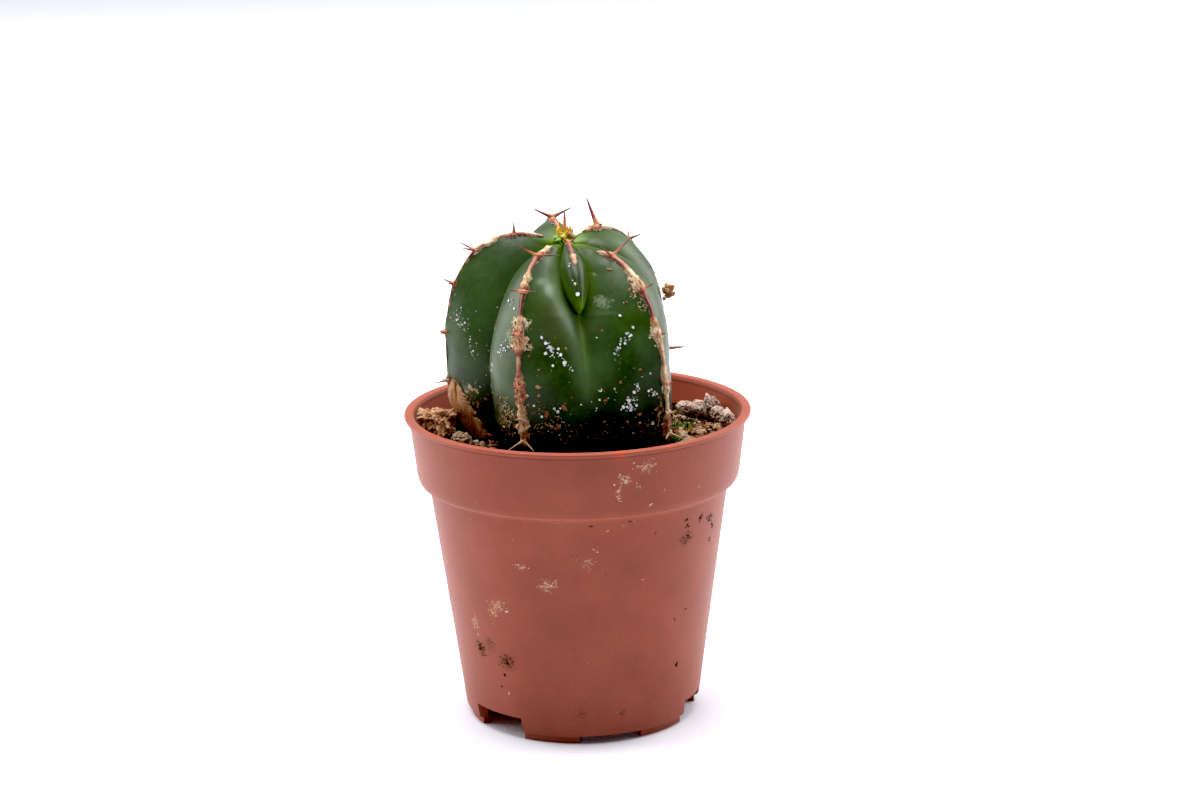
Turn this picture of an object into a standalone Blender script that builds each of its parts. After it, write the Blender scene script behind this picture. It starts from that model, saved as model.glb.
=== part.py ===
"""A small ribbed euphorbia in its moulded nursery pot.

Lengths are in millimetres and are multiplied by MM where a point is made. The origin is the middle
of the circle that the pot's feet stand on, +Z is up and the front of the plant faces -Y. An azimuth
is in degrees from the front (-Y), positive towards +X.
"""

import math
import random

import bmesh
import bpy
from mathutils import Matrix, Vector

MM = 0.001
FIT_GAP = 0.35

# Pot: a thin moulded nursery pot, 55 mm over the rim
RIM_Z = 49.7
RIM_R = 27.5
LIP_THICK = 0.6
COLLAR_TOP_R = 26.7
COLLAR_LOW_R, COLLAR_LOW_Z = 25.7, 41.0
CHAMFER_R, CHAMFER_Z = 25.3, 39.9
STEP_Z = 38.0
BODY_TOP_R = 23.8
BODY_LOW_R = 18.6
WALL = 0.8
FOOT_R = 18.1
FOOT_WIDTH = 0.9
FOOT_Z = 1.3
PLATE_UNDER_Z, PLATE_TOP_Z = 3.8, 4.7
POT_SEGMENTS = 72
THIRD = 120.0
NOTCH_AZIMUTH, NOTCH_HALF, NOTCH_TOP_Z = -46.0, 15.4, 3.7
FOOT_GAPS = ((-71.0, -25.0), (-2.0, 30.0))
DRAIN_HOLE_R, DRAIN_RING_R = 2.2, 11.0

# Stem: five swollen ribs round a sunken growing point
STEM_X = 0.2
STEM_LEAN = -0.054
LEAN_FROM_Z = 44.0
APEX_Z = 76.0
SHOULDER_TOP_R, SHOULDER_TOP_Z = 6.5, 78.0
WIDEST_R, WIDEST_Z = 20.0, 57.0
SHOULDER_POWER = 2.4
WAIST_IN, WAIST_DROP = 0.8, 13.0
FURROW_TOP_R, FURROW_TOP_Z = 2.0, 75.3
FURROW_WIDEST_R = 14.0
FURROW_WAIST_IN = 0.6
FURROW_POWER = 2.1
FLANK_SHARES = (0.0, 0.22, 0.45, 0.68, 0.86, 0.96)
SOIL_LINE_Z = 44.5
SOIL_TOP_Z = 46.1
ROOT_RINGS = ((42.0, 0.93), (40.0, 0.78), (38.6, 0.5))

# Each rib's name and azimuth, how much its shoulder stands over the mean, and its reach as a share
RIBS = (
    ("a", -24.0, -1.4, 1.0), ("b", 44.5, -2.0, 1.0), ("e", 133.0, -0.3, 0.94),
    ("d", 193.0, 0.8, 0.96), ("c", 276.0, -0.5, 0.962),
)
RISE_R, RISE_DROP = 7.0, 20.0
# The furrow that follows each rib, in the same order: its azimuth, and how sharply the flanks fall
# to it at the shoulder, at the widest part and at the soil
FURROWS = (
    (7.5, (0.45, 0.45, 0.45)), (87.0, (0.45, 1.2, 1.45)), (163.0, (0.45, 0.5, 0.6)),
    (232.0, (0.6, 0.5, 0.6)), (300.0, (0.9, 0.45, 0.68)),
)
FLANK_LEVELS = (72.0, 60.0, 46.0)

# The sixth, young rib is wedged into the top of the first furrow, which is shallow further down
YOUNG_HALF, YOUNG_TAPER, YOUNG_END_Z = 14.0, 0.7, 70.2
YOUNG_LIFT, YOUNG_POWER = 0.72, 0.6
SHALLOW_FROM_Z, SHALLOW_TO_Z, SHALLOW_REST, SHALLOW_POWER = 70.0, 48.0, 0.06, 1.3

# Horny margin along each rib, and its spines
MARGIN_HALF, MARGIN_THICK, MARGIN_LIFT = 0.5, 0.42, 0.32
SHIELD_EXTRA, SHIELD_THICK, SHIELD_SPAN = 0.5, 0.2, 0.07
CORKY_FROM_T, CORKY_EXTRA = 1.9, 0.6
SPINE_R = 0.42
SPINE_SIDES = 5
SPINE_SINK = 0.7

# Loose pieces on the soil. A grain is its azimuth, its distance from the pot's axis, its height
# over the soil, and its radii across, along and up.
BARK_CHIP = (
    (-98, 23.4, 0.3, (1.5, 2.4, 1.4)), (-89, 22.8, 1.0, (1.4, 2.4, 1.3)), (-80, 22.1, 2.0, (1.3, 2.3, 1.2)),
    (-72, 21.5, 2.9, (1.2, 2.0, 1.1)),
)
PUMICE_HEAP = (
    (130, 23.2, 0.3, (1.4, 2.0, 1.1)), (122, 23.4, 0.3, (1.4, 2.1, 1.3)),
    (114, 23.7, 0.5, (1.2, 2.0, 1.9)), (107, 23.7, 0.3, (1.2, 1.8, 1.2)),
)
PUMICE_RIGHT = ((93, 23.8, 0.3, (1.3, 2.0, 1.4)),)
PUMICE_LEFT = ((-60, 20.8, 0.3, (1.4, 2.0, 1.35)),)
LAID_SPANS, LAID_INNER_R = ((-112.0, -48.0), (86.0, 142.0)), 21.4
GRIT_COUNT, GRIT_R, GRIT_SUNK, GRIT_CLEAR = 60, (0.6, 1.15), 0.2, 0.65
CRUMB_AZIMUTH, CRUMB_T, CRUMB_RADII = 117.0, 1.72, (0.95, 0.95, 1.5)

# Flake of bark over the foot of the left rib
CORK_LEFT, CORK_TOP_T, CORK_FOOT_T, CORK_THICK = -79.0, 2.1, 2.78, 0.9
CORK_POINT, CORK_SPREAD = 3.0, 14.0
CORK_ROWS, CORK_COLUMNS = 7, 8

# Growth at the growing point: each is a thorn or a leaf as its azimuth, its distance from the axis,
# its tilt from upright, its length and its radius
TIP_RISE, TIP_RADII = 1.55, (1.2, 1.2, 0.75)
TIP_GROWTH = (
    (175, 0.4, 10, 3.9, 0.5), (250, 0.7, 12, 1.9, 0.5), (110, 0.9, 10, 1.6, 0.42),
    (20, 0.8, 25, 1.0, 0.5), (310, 0.8, 34, 1.2, 0.5), (60, 0.6, 20, 1.1, 0.45),
)


def point(azimuth, radius, z, centre_x=0.0):
    a = math.radians(azimuth)
    return Vector((centre_x + radius * math.sin(a), -radius * math.cos(a), z)) * MM


def material(name, rgb, roughness):
    mat = bpy.data.materials.new(name)
    mat.use_nodes = True
    shader = mat.node_tree.nodes["Principled BSDF"]
    shader.inputs["Base Color"].default_value = (*rgb, 1.0)
    shader.inputs["Roughness"].default_value = roughness
    mat.diffuse_color = (*rgb, 1.0)
    return mat


def add_object(name, mesh, mat):
    obj = bpy.data.objects.new(name, mesh)
    bpy.context.scene.collection.objects.link(obj)
    mesh.materials.append(mat)
    mesh.shade_smooth()
    mesh.set_sharp_from_angle(angle=math.radians(35))
    return obj


def grid_mesh(name, rings):
    """A skin over rings of equal length. The first and the last ring close to a fan."""
    bm = bmesh.new()
    rows = [[bm.verts.new(p) for p in ring] for ring in rings]
    count = len(rows[0])
    for upper, lower in zip(rows, rows[1:]):
        for i in range(count):
            j = (i + 1) % count
            bm.faces.new((upper[i], upper[j], lower[j], lower[i]))
    for row, turned in ((rows[0], True), (rows[-1], False)):
        middle = bm.verts.new(sum((v.co for v in row), Vector()) / count)
        for i in range(count):
            a, b = row[i], row[(i + 1) % count]
            bm.faces.new((middle, b, a) if turned else (middle, a, b))
    bmesh.ops.triangulate(bm, faces=bm.faces)
    bmesh.ops.recalc_face_normals(bm, faces=bm.faces)
    mesh = bpy.data.meshes.new(name)
    bm.to_mesh(mesh)
    bm.free()
    return mesh


def sector_prism(bm, start, end, inner, outer, low, high):
    """A block of a ring between two azimuths, which cuts an opening in the pot's foot."""
    steps = max(2, round((end - start) / 4))
    rows = []
    for i in range(steps + 1):
        azimuth = start + (end - start) * i / steps
        corners = ((inner, low), (outer, low), (outer, high), (inner, high))
        rows.append([bm.verts.new(point(azimuth, r, z)) for r, z in corners])
    for a, b in zip(rows, rows[1:]):
        for i in range(4):
            j = (i + 1) % 4
            bm.faces.new((a[i], a[j], b[j], b[i]))
    bm.faces.new(rows[0])
    bm.faces.new(rows[-1])


def cutter(name, build):
    bm = bmesh.new()
    build(bm)
    bmesh.ops.recalc_face_normals(bm, faces=bm.faces)
    mesh = bpy.data.meshes.new(name)
    bm.to_mesh(mesh)
    bm.free()
    obj = bpy.data.objects.new(name, mesh)
    bpy.context.scene.collection.objects.link(obj)
    obj.hide_render = True
    obj.display_type = "WIRE"
    return obj


def body_radius(z):
    """Outer radius of the pot's tapered body below the step."""
    return BODY_LOW_R + (BODY_TOP_R - BODY_LOW_R) * z / STEP_Z


def inner_radius(z):
    """Inner radius of the pot's wall, which follows the outside one wall thickness in."""
    if z <= STEP_Z:
        return body_radius(z) - WALL
    if z <= COLLAR_LOW_Z:
        part = (z - STEP_Z) / (COLLAR_LOW_Z - STEP_Z)
        return BODY_TOP_R - WALL + (COLLAR_LOW_R - BODY_TOP_R) * part
    part = (z - COLLAR_LOW_Z) / (RIM_Z - COLLAR_LOW_Z)
    return COLLAR_LOW_R - WALL + (COLLAR_TOP_R - COLLAR_LOW_R) * part


def build_pot():
    inside = [(0.0, PLATE_TOP_Z)]
    inside += [(inner_radius(z), z) for z in (PLATE_TOP_Z, STEP_Z, COLLAR_LOW_Z, RIM_Z - LIP_THICK)]
    lip = [
        (COLLAR_TOP_R - WALL + 0.15, RIM_Z - 0.12),
        (COLLAR_TOP_R - WALL + 0.35, RIM_Z),
        (RIM_R - 0.2, RIM_Z),
        (RIM_R, RIM_Z - 0.2),
        (RIM_R, RIM_Z - LIP_THICK + 0.1),
        (RIM_R - 0.2, RIM_Z - LIP_THICK - 0.05),
    ]
    outside = [
        (COLLAR_TOP_R, RIM_Z - LIP_THICK - 0.15),
        (COLLAR_LOW_R, COLLAR_LOW_Z),
        (CHAMFER_R, CHAMFER_Z),
        (BODY_TOP_R + 0.1, STEP_Z),
        (BODY_TOP_R, STEP_Z - 0.3),
        (body_radius(FOOT_Z), FOOT_Z),
        (FOOT_R + 0.05, FOOT_Z),
        (FOOT_R, 0.0),
        (FOOT_R - FOOT_WIDTH, 0.0),
        (FOOT_R - FOOT_WIDTH + 0.2, PLATE_UNDER_Z),
        (0.0, PLATE_UNDER_Z),
    ]
    bm = bmesh.new()
    profile = [bm.verts.new((r * MM, 0.0, z * MM)) for r, z in inside + lip + outside]
    for a, b in zip(profile, profile[1:]):
        bm.edges.new((a, b))
    mesh = bpy.data.meshes.new("pot")
    bm.to_mesh(mesh)
    bm.free()
    pot = add_object("pot", mesh, material("pot_plastic", (0.36, 0.12, 0.08), 0.5))
    turn = pot.modifiers.new("turned_wall", "SCREW")
    turn.steps = POT_SEGMENTS
    turn.render_steps = POT_SEGMENTS
    turn.use_merge_vertices = True
    turn.merge_threshold = 0.00001
    turn.use_smooth_shade = True

    def notches(bm):
        for k in range(3):
            middle = NOTCH_AZIMUTH + k * THIRD
            sector_prism(bm, middle - NOTCH_HALF, middle + NOTCH_HALF, 14.0, 22.0, -1.0, NOTCH_TOP_Z)

    def foot_gaps(bm):
        for k in range(3):
            for start, end in FOOT_GAPS:
                sector_prism(bm, start + k * THIRD, end + k * THIRD, 15.0, 21.0, -2.0, FOOT_Z)

    def drain_holes(bm):
        for k in range(3):
            place = point(NOTCH_AZIMUTH + k * THIRD, DRAIN_RING_R, (PLATE_UNDER_Z + PLATE_TOP_Z) / 2)
            bmesh.ops.create_cone(
                bm, cap_ends=True, segments=16, radius1=DRAIN_HOLE_R * MM, radius2=DRAIN_HOLE_R * MM,
                depth=3 * MM, matrix=Matrix.Translation(place),
            )

    for name, build in (("drain_notches", notches), ("foot_gaps", foot_gaps), ("drain_holes", drain_holes)):
        cut = pot.modifiers.new(name, "BOOLEAN")
        cut.operation = "DIFFERENCE"
        cut.object = cutter("cutter_" + name, build)
    return pot


def crest(t):
    """Radius and height of a rib's crest: t runs 0-1 from the apex to the shoulder's top, 1-2 over
    the shoulder and 2-3 down the side."""
    if t <= 1:
        return SHOULDER_TOP_R * t, SHOULDER_TOP_Z - (SHOULDER_TOP_Z - APEX_Z) * (1 - t) ** 2
    if t <= 2:
        a = (t - 1) * math.pi / 2
        r = SHOULDER_TOP_R + (WIDEST_R - SHOULDER_TOP_R) * math.sin(a) ** (2 / SHOULDER_POWER)
        z = WIDEST_Z + (SHOULDER_TOP_Z - WIDEST_Z) * math.cos(a) ** (2 / SHOULDER_POWER)
        return r, z
    return WIDEST_R - WAIST_IN * (t - 2) ** 2, WIDEST_Z - WAIST_DROP * (t - 2)


def furrow(t):
    """The same for the bottom of a furrow."""
    if t <= 1:
        return FURROW_TOP_R * t, APEX_Z - (APEX_Z - FURROW_TOP_Z) * t**2
    if t <= 2:
        a = (t - 1) * math.pi / 2
        r = FURROW_TOP_R + (FURROW_WIDEST_R - FURROW_TOP_R) * math.sin(a) ** (2 / FURROW_POWER)
        z = WIDEST_Z + (FURROW_TOP_Z - WIDEST_Z) * math.cos(a) ** (2 / FURROW_POWER)
        return r, z
    return FURROW_WIDEST_R - FURROW_WAIST_IN * (t - 2) ** 2, WIDEST_Z - WAIST_DROP * (t - 2)


def clamp(x):
    return min(1.0, max(0.0, x))


def young_half(z):
    """Half the width of the young rib in degrees, which tapers to nothing at its lower end."""
    return YOUNG_HALF * clamp((z - YOUNG_END_Z) / (APEX_Z - YOUNG_END_Z)) ** YOUNG_TAPER


def flank_power(powers, z):
    """How sharply a flank falls at this height, between the values given at the levels."""
    top, middle, low = FLANK_LEVELS
    if z > middle:
        return powers[1] + (powers[0] - powers[1]) * clamp((z - middle) / (top - middle))
    return powers[1] + (powers[2] - powers[1]) * clamp((middle - z) / (middle - low))


def next_rib(i):
    """The rib after the furrow i: its azimuth, rise and reach."""
    name, azimuth, rise, reach = RIBS[(i + 1) % len(RIBS)]
    return azimuth + (360 if i == len(RIBS) - 1 else 0), rise, reach


def rib_share(azimuth, z):
    """How far the skin stands out at this azimuth and height, from 0 in a furrow to 1 on a crest,
    and the rise and reach of the rib that it belongs to."""
    azimuth = (azimuth - RIBS[0][1]) % 360 + RIBS[0][1]
    i = max(k for k, rib in enumerate(RIBS) if rib[1] <= azimuth + 1e-9)
    name, start, rise, reach = RIBS[i]
    end, end_rise, end_reach = next_rib(i)
    valley, powers = FURROWS[i]
    half = young_half(z) if i == 0 else 0.0
    if abs(azimuth - valley) < half:
        share = YOUNG_LIFT * (1 - (abs(azimuth - valley) / half) ** 2) ** YOUNG_POWER
        return share, 0.0, 1.0
    if azimuth < valley:
        u = (azimuth - start) / (valley - half - start)
    else:
        u, rise, reach = (end - azimuth) / (end - valley - half), end_rise, end_reach
    share = (1 - clamp(u)) ** flank_power(powers, z)
    if i == 0:
        fade = clamp((z - SHALLOW_TO_Z) / (SHALLOW_FROM_Z - SHALLOW_TO_Z))
        depth = SHALLOW_REST + (1 - SHALLOW_REST) * fade**SHALLOW_POWER
        share = 1 - (1 - share) * depth
    return share, rise, reach


def skin(azimuth, t):
    """Radius about the stem's axis and height of the skin."""
    crest_r, crest_z = crest(t)
    furrow_r, furrow_z = furrow(t)
    share, rise, reach = rib_share(azimuth, crest_z)
    r = furrow_r + (crest_r * reach - furrow_r) * share
    z = furrow_z + (crest_z - furrow_z) * share
    return r, z + rise * share * clamp(r / RISE_R) * clamp((z - LEAN_FROM_Z) / RISE_DROP)


def stem_axis(z):
    return STEM_X + STEM_LEAN * (z - LEAN_FROM_Z)


def skin_point(azimuth, t):
    r, z = skin(azimuth, t)
    return point(azimuth, r, z, stem_axis(z))


def stem_azimuths(t):
    """Columns of the skin at t: close together at the furrows, and spread over the young rib."""
    z = crest(t)[1]
    columns = []
    for i, (name, start, rise, reach) in enumerate(RIBS):
        end = next_rib(i)[0]
        valley = FURROWS[i][0]
        half = max(young_half(z), min(6.0, 0.7 + 0.4 * max(0.0, YOUNG_END_Z - z))) if i == 0 else 0.0
        columns += [start + (valley - half - start) * share for share in FLANK_SHARES]
        columns += [valley + half * k / 4 for k in range(-4, 5)] if i == 0 else [valley]
        columns += [end + (valley + half - end) * share for share in reversed(FLANK_SHARES[1:])]
    return columns


def side_end():
    """The value of t at which the skin meets the soil line."""
    return 2 + (WIDEST_Z - SOIL_LINE_Z) / WAIST_DROP


def stem_rows():
    rows = [0.35, 0.7, 1.0, 1.08]
    rows += [1.0 + 0.09 * k for k in range(2, 12)]
    rows += [2.0 + (side_end() - 2.0) * k / 6 for k in range(7)]
    return rows


def root_rings(grow=0.0, drop=0.0):
    """Rings of the buried stem end. The hole in the soil is the same form, a little larger."""
    azimuths = stem_azimuths(side_end())
    rings = []
    for z, share in ((SOIL_LINE_Z, 1.0), *ROOT_RINGS):
        ring = []
        for azimuth in azimuths:
            r = skin(azimuth, side_end())[0] * share + grow
            ring.append(point(azimuth, r, z - drop, stem_axis(z)))
        rings.append(ring)
    return rings


def build_stem():
    rings = [[skin_point(azimuth, t) for azimuth in stem_azimuths(t)] for t in stem_rows()]
    rings += root_rings()[1:]
    mesh = grid_mesh("stem", rings)
    return add_object("stem", mesh, material("stem_skin", (0.04, 0.13, 0.035), 0.35))


def soil_top(x, y):
    """Height of the soil: it lies lower behind the plant on the right, and is never quite level."""
    azimuth = math.degrees(math.atan2(x, -y))
    back_right = max(0.0, math.cos(math.radians(azimuth - 150)))
    ripple = 0.25 * math.sin(0.55 * x + 1.3) + 0.2 * math.sin(0.6 * y - 0.4)
    return SOIL_TOP_Z - 2.0 * back_right**1.5 + ripple


def wall_ring(azimuths, z):
    """A ring of the soil's side, which stands just clear of the pot's wall."""
    return [point(azimuth, inner_radius(z) - FIT_GAP, z) for azimuth in azimuths]


def build_soil():
    azimuths = stem_azimuths(side_end())
    hole = root_rings(grow=FIT_GAP, drop=FIT_GAP)
    top_wall = wall_ring(azimuths, SOIL_TOP_Z)
    for place in top_wall:
        place.z = soil_top(place.x / MM, place.y / MM) * MM
    edge = []
    for azimuth in azimuths:
        r = skin(azimuth, 2 + (WIDEST_Z - SOIL_TOP_Z) / WAIST_DROP)[0] + FIT_GAP
        place = point(azimuth, r, 0.0, stem_axis(SOIL_TOP_Z))
        place.z = soil_top(place.x / MM, place.y / MM) * MM
        edge.append(place)
    rings = list(reversed(hole)) + [edge]
    for share in (0.33, 0.67):
        ring = [a.lerp(b, share) for a, b in zip(edge, top_wall)]
        for place in ring:
            place.z = soil_top(place.x / MM, place.y / MM) * MM
        rings.append(ring)
    rings += [top_wall, wall_ring(azimuths, COLLAR_LOW_Z), wall_ring(azimuths, STEP_Z - FIT_GAP)]
    rings.append(wall_ring(azimuths, PLATE_TOP_Z + FIT_GAP))
    soil = add_object("soil", grid_mesh("soil", rings), material("potting_mix", (0.05, 0.03, 0.018), 0.95))
    grains = bpy.data.collections.new("grit")
    draw = random.Random(7)
    for _ in range(GRIT_COUNT):
        azimuth = draw.uniform(-180, 180)
        size = draw.uniform(*GRIT_R)
        inner = skin(azimuth, side_end())[0] + GRIT_CLEAR + size
        radius = draw.uniform(inner, inner_radius(SOIL_LINE_Z) - GRIT_CLEAR - size)
        laid = any(start < azimuth < end for start, end in LAID_SPANS)
        if laid and radius + size > LAID_INNER_R:
            continue
        place = point(azimuth, radius, 0.0)
        place.z = (soil_top(place.x / MM, place.y / MM) - GRIT_SUNK * size) * MM
        grains.objects.link(lump("grit_grain", place, (size, size, size * 0.85), draw, 1))
    fuse(soil, grains)
    return soil


def lump(name, place, radii, draw, subdivisions, turn=0.0, rough=0.14):
    """A grain: an icosphere stretched to three radii and dented at random."""
    bm = bmesh.new()
    bmesh.ops.create_icosphere(bm, subdivisions=subdivisions, radius=1.0)
    spin = Matrix.Rotation(math.radians(turn), 3, "Z")
    for v in bm.verts:
        dent = 1.0 + draw.uniform(-rough, rough)
        local = Vector((v.co.x * radii[0], v.co.y * radii[1], v.co.z * radii[2])) * dent * MM
        v.co = place + spin @ local
    mesh = bpy.data.meshes.new(name)
    bm.to_mesh(mesh)
    bm.free()
    return bpy.data.objects.new(name, mesh)


def fuse(body, collection):
    """Joins the collection's objects to the body as one solid, and removes them."""
    bpy.context.scene.collection.children.link(collection)
    join = body.modifiers.new("fused", "BOOLEAN")
    join.operation = "UNION"
    join.solver = "MANIFOLD"
    join.operand_type = "COLLECTION"
    join.collection = collection
    bpy.context.view_layer.update()
    bpy.ops.object.select_all(action="DESELECT")
    body.select_set(True)
    bpy.context.view_layer.objects.active = body
    bpy.ops.object.modifier_apply(modifier=join.name)
    for obj in list(collection.objects):
        bpy.data.objects.remove(obj)
    bpy.data.collections.remove(collection)


def crest_frame(rib, t):
    """A point on a rib's crest, with the outward, sideways and downward directions there."""
    down = (skin_point(rib, t + 0.02) - skin_point(rib, t - 0.02)).normalized()
    a = math.radians(rib)
    side = Vector((math.cos(a), math.sin(a), 0.0))
    return skin_point(rib, t), down.cross(side).normalized(), side, down


def spine(name, base, direction, length, radius=SPINE_R):
    """A straight thorn: a slim cone with its root sunk into the margin."""
    bm = bmesh.new()
    turn = direction.to_track_quat("Z", "Y").to_matrix().to_4x4()
    place = Matrix.Translation(base - direction * SPINE_SINK * MM) @ turn
    bmesh.ops.create_cone(
        bm, cap_ends=True, segments=SPINE_SIDES, radius1=radius * MM, radius2=0.05 * MM,
        depth=(length + SPINE_SINK) * MM,
        matrix=place @ Matrix.Translation((0, 0, (length + SPINE_SINK) * MM / 2)),
    )
    mesh = bpy.data.meshes.new(name)
    bm.to_mesh(mesh)
    bm.free()
    return bpy.data.objects.new(name, mesh)


# For each rib: where its margin starts and ends along the crest, and its spine shields from the top
# down. A shield is its place t, then the left and the right spine as length and spread from the
# outward direction in degrees, and how far both are turned down the rib.
MARGINS = {
    "a": (0.85, 2.62, (
        (1.14, 3.9, 66, 3.3, 74, 0.0), (1.47, 2.2, 84, 2.2, 84, 0.0), (1.72, 0.9, 60, 0.9, 60, 0.1),
        (1.96, 0.9, 55, 0.8, 60, 0.1), (2.25, 0.9, 60, 0.8, 60, 0.1), (2.55, 2.8, 78, 2.2, 70, 0.6),
    )),
    "b": (1.02, 2.66, (
        (1.14, 2.9, 74, 4.9, 58, 0.0), (1.47, 0.9, 60, 1.7, 60, 0.0), (1.74, 0.8, 60, 0.8, 60, 0.1),
        (1.97, 0.7, 60, 1.8, 50, 0.1), (2.27, 0.8, 60, 0.8, 60, 0.1), (2.56, 1.3, 70, 2.4, 45, 0.4),
    )),
    "e": (0.65, 2.72, (
        (1.04, 0.9, 60, 3.9, 32, -0.1), (1.37, 2.4, 62, 1.9, 40, -0.1), (1.66, 1.3, 60, 1.3, 60, 0.0),
        (1.9, 1.2, 60, 1.2, 60, 0.1), (2.13, 1.7, 40, 1.5, 60, 0.0), (2.48, 1.4, 60, 1.4, 60, 0.3),
    )),
    "d": (0.3, 2.72, (
        (1.05, 3.4, 66, 3.6, 68, -0.1), (1.38, 2.2, 60, 2.0, 62, 0.5), (1.62, 2.2, 62, 1.6, 60, 0.0),
        (1.88, 1.4, 60, 1.8, 58, 0.1), (2.15, 1.2, 60, 1.0, 60, 0.1), (2.5, 1.6, 66, 1.6, 66, 0.4),
    )),
    "c": (0.5, 2.26, (
        (1.04, 1.0, 50, 2.2, 25, 0.0), (1.34, 3.2, 45, 2.9, 52, 0.35), (1.6, 1.8, 30, 1.2, 55, 0.0),
        (1.86, 1.0, 40, 1.0, 50, 0.1), (2.14, 1.1, 50, 2.2, 25, 0.0),
    )),
}
YOUNG_MARGIN = (0.9, 1.3, ((1.0, 1.3, 52, 1.6, 58, -0.2),))


def margin_ring(rib, t, half, thick):
    """The section of a margin: a low arch over the crest, with its edges turned down past it."""
    here, out, side, down = crest_frame(rib, t)
    low, top = MARGIN_LIFT - 0.2, MARGIN_LIFT + thick
    shoulder = MARGIN_LIFT + thick * 0.75
    shape = ((-half, low), (-half * 0.7, shoulder), (0.0, top), (half * 0.7, shoulder), (half, low),
             (0.0, MARGIN_LIFT))
    return [here + (side * x + out * h) * MM for x, h in shape]


def build_margin(name, rib, start, end, shields, mat, half=MARGIN_HALF):
    count = max(6, round((end - start) / 0.075))
    rings = []
    for k in range(count + 1):
        t = start + (end - start) * k / count
        near = min(abs(t - shield[0]) for shield in shields)
        swell = math.exp(-((near / SHIELD_SPAN) ** 2))
        taper = min(1.0, 0.45 + 4 * (t - start), 0.45 + 4 * (end - t))
        wide = half + SHIELD_EXTRA * swell + CORKY_EXTRA * clamp(t - CORKY_FROM_T)
        rings.append(margin_ring(rib, t, wide * taper, MARGIN_THICK + SHIELD_THICK * swell))
    margin = add_object(name, grid_mesh(name, rings), mat)
    spines = bpy.data.collections.new(name + "_spines")
    for t, left, left_spread, right, right_spread, turned in shields:
        here, out, side, down = crest_frame(rib, t)
        for sign, length, spread in ((-1, left, left_spread), (1, right, right_spread)):
            a = math.radians(spread)
            direction = (out * math.cos(a) + side * sign * math.sin(a) + down * turned).normalized()
            base = here + out * (MARGIN_LIFT + MARGIN_THICK * 0.8) * MM + side * sign * 0.25 * MM
            radius = SPINE_R * min(1.0, 0.62 + 0.12 * length)
            spines.objects.link(spine("spine", base, direction, length, radius))
    fuse(margin, spines)
    return margin


def build_tip(mat):
    """Young leaves and the first orange thorns round the growing point, grown on one small boss."""
    draw = random.Random(3)
    middle = Vector((stem_axis(APEX_Z), 0.0, APEX_Z + TIP_RISE)) * MM
    boss = lump("growing_tip", middle, TIP_RADII, draw, 2, rough=0.04)
    bpy.context.scene.collection.objects.link(boss)
    boss.data.materials.append(mat)
    parts = bpy.data.collections.new("tip_parts")
    for azimuth, away, tilt, length, radius in TIP_GROWTH:
        lean = math.radians(tilt)
        flat = point(azimuth, 1.0, 0.0).normalized()
        direction = Vector((flat.x * math.sin(lean), flat.y * math.sin(lean), math.cos(lean)))
        base = middle + flat * away * MM + Vector((0, 0, 0.4)) * MM
        parts.objects.link(spine("tip_thorn", base, direction, length, radius))
    fuse(boss, parts)
    return boss


def cork_edges(share):
    """The left and right edge of the cork flake as azimuths, from its pointed top to its foot."""
    return CORK_LEFT - CORK_POINT * share, CORK_LEFT + CORK_POINT + CORK_SPREAD * share**0.8


def build_cork(mat):
    """Fibrous bark grown over the foot of the left rib, as a thick flake that follows the skin."""
    draw = random.Random(11)
    inner, outer = [], []
    for j in range(CORK_ROWS + 1):
        share = j / CORK_ROWS
        t = CORK_TOP_T + (CORK_FOOT_T - CORK_TOP_T) * share
        left, right = cork_edges(share)
        for wall, lift in ((inner, FIT_GAP + 0.1), (outer, FIT_GAP + CORK_THICK)):
            line = []
            for i in range(CORK_COLUMNS + 1):
                azimuth = left + (right - left) * i / CORK_COLUMNS
                r, z = skin(azimuth, t)
                bump = draw.uniform(-0.2, 0.2) if wall is outer else 0.0
                line.append(point(azimuth, r + lift + bump, z, stem_axis(z)))
            wall.append(line)
    rings = [near + list(reversed(far)) for near, far in zip(inner, outer)]
    return add_object("cork_flake", grid_mesh("cork_flake", rings), mat)


def build_heap(name, mat, grains, seed, subdivisions=2):
    """Grains that lie on the soil and against each other, fused into one body."""
    draw = random.Random(seed)
    lumps = []
    for azimuth, radius, rise, radii in grains:
        place = point(azimuth, radius, 0.0)
        place.z = (soil_top(place.x / MM, place.y / MM) + rise + radii[2]) * MM
        lumps.append(lump(name, place, radii, draw, subdivisions, turn=azimuth - 90, rough=0.1))
    first, *others = lumps
    first.name = name
    bpy.context.scene.collection.objects.link(first)
    first.data.materials.append(mat)
    if others:
        heap = bpy.data.collections.new(name + "_grains")
        for other in others:
            heap.objects.link(other)
        fuse(first, heap)
    return first


def build_crumb(mat):
    """A crumb of soil caught on the spines of the back right rib."""
    r, z = skin(CRUMB_AZIMUTH, CRUMB_T)
    place = point(CRUMB_AZIMUTH, r + CRUMB_RADII[0] + FIT_GAP, z, stem_axis(z))
    crumb = lump("stuck_crumb", place, CRUMB_RADII, random.Random(17), 1, rough=0.1)
    bpy.context.scene.collection.objects.link(crumb)
    crumb.data.materials.append(mat)
    return crumb


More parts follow.
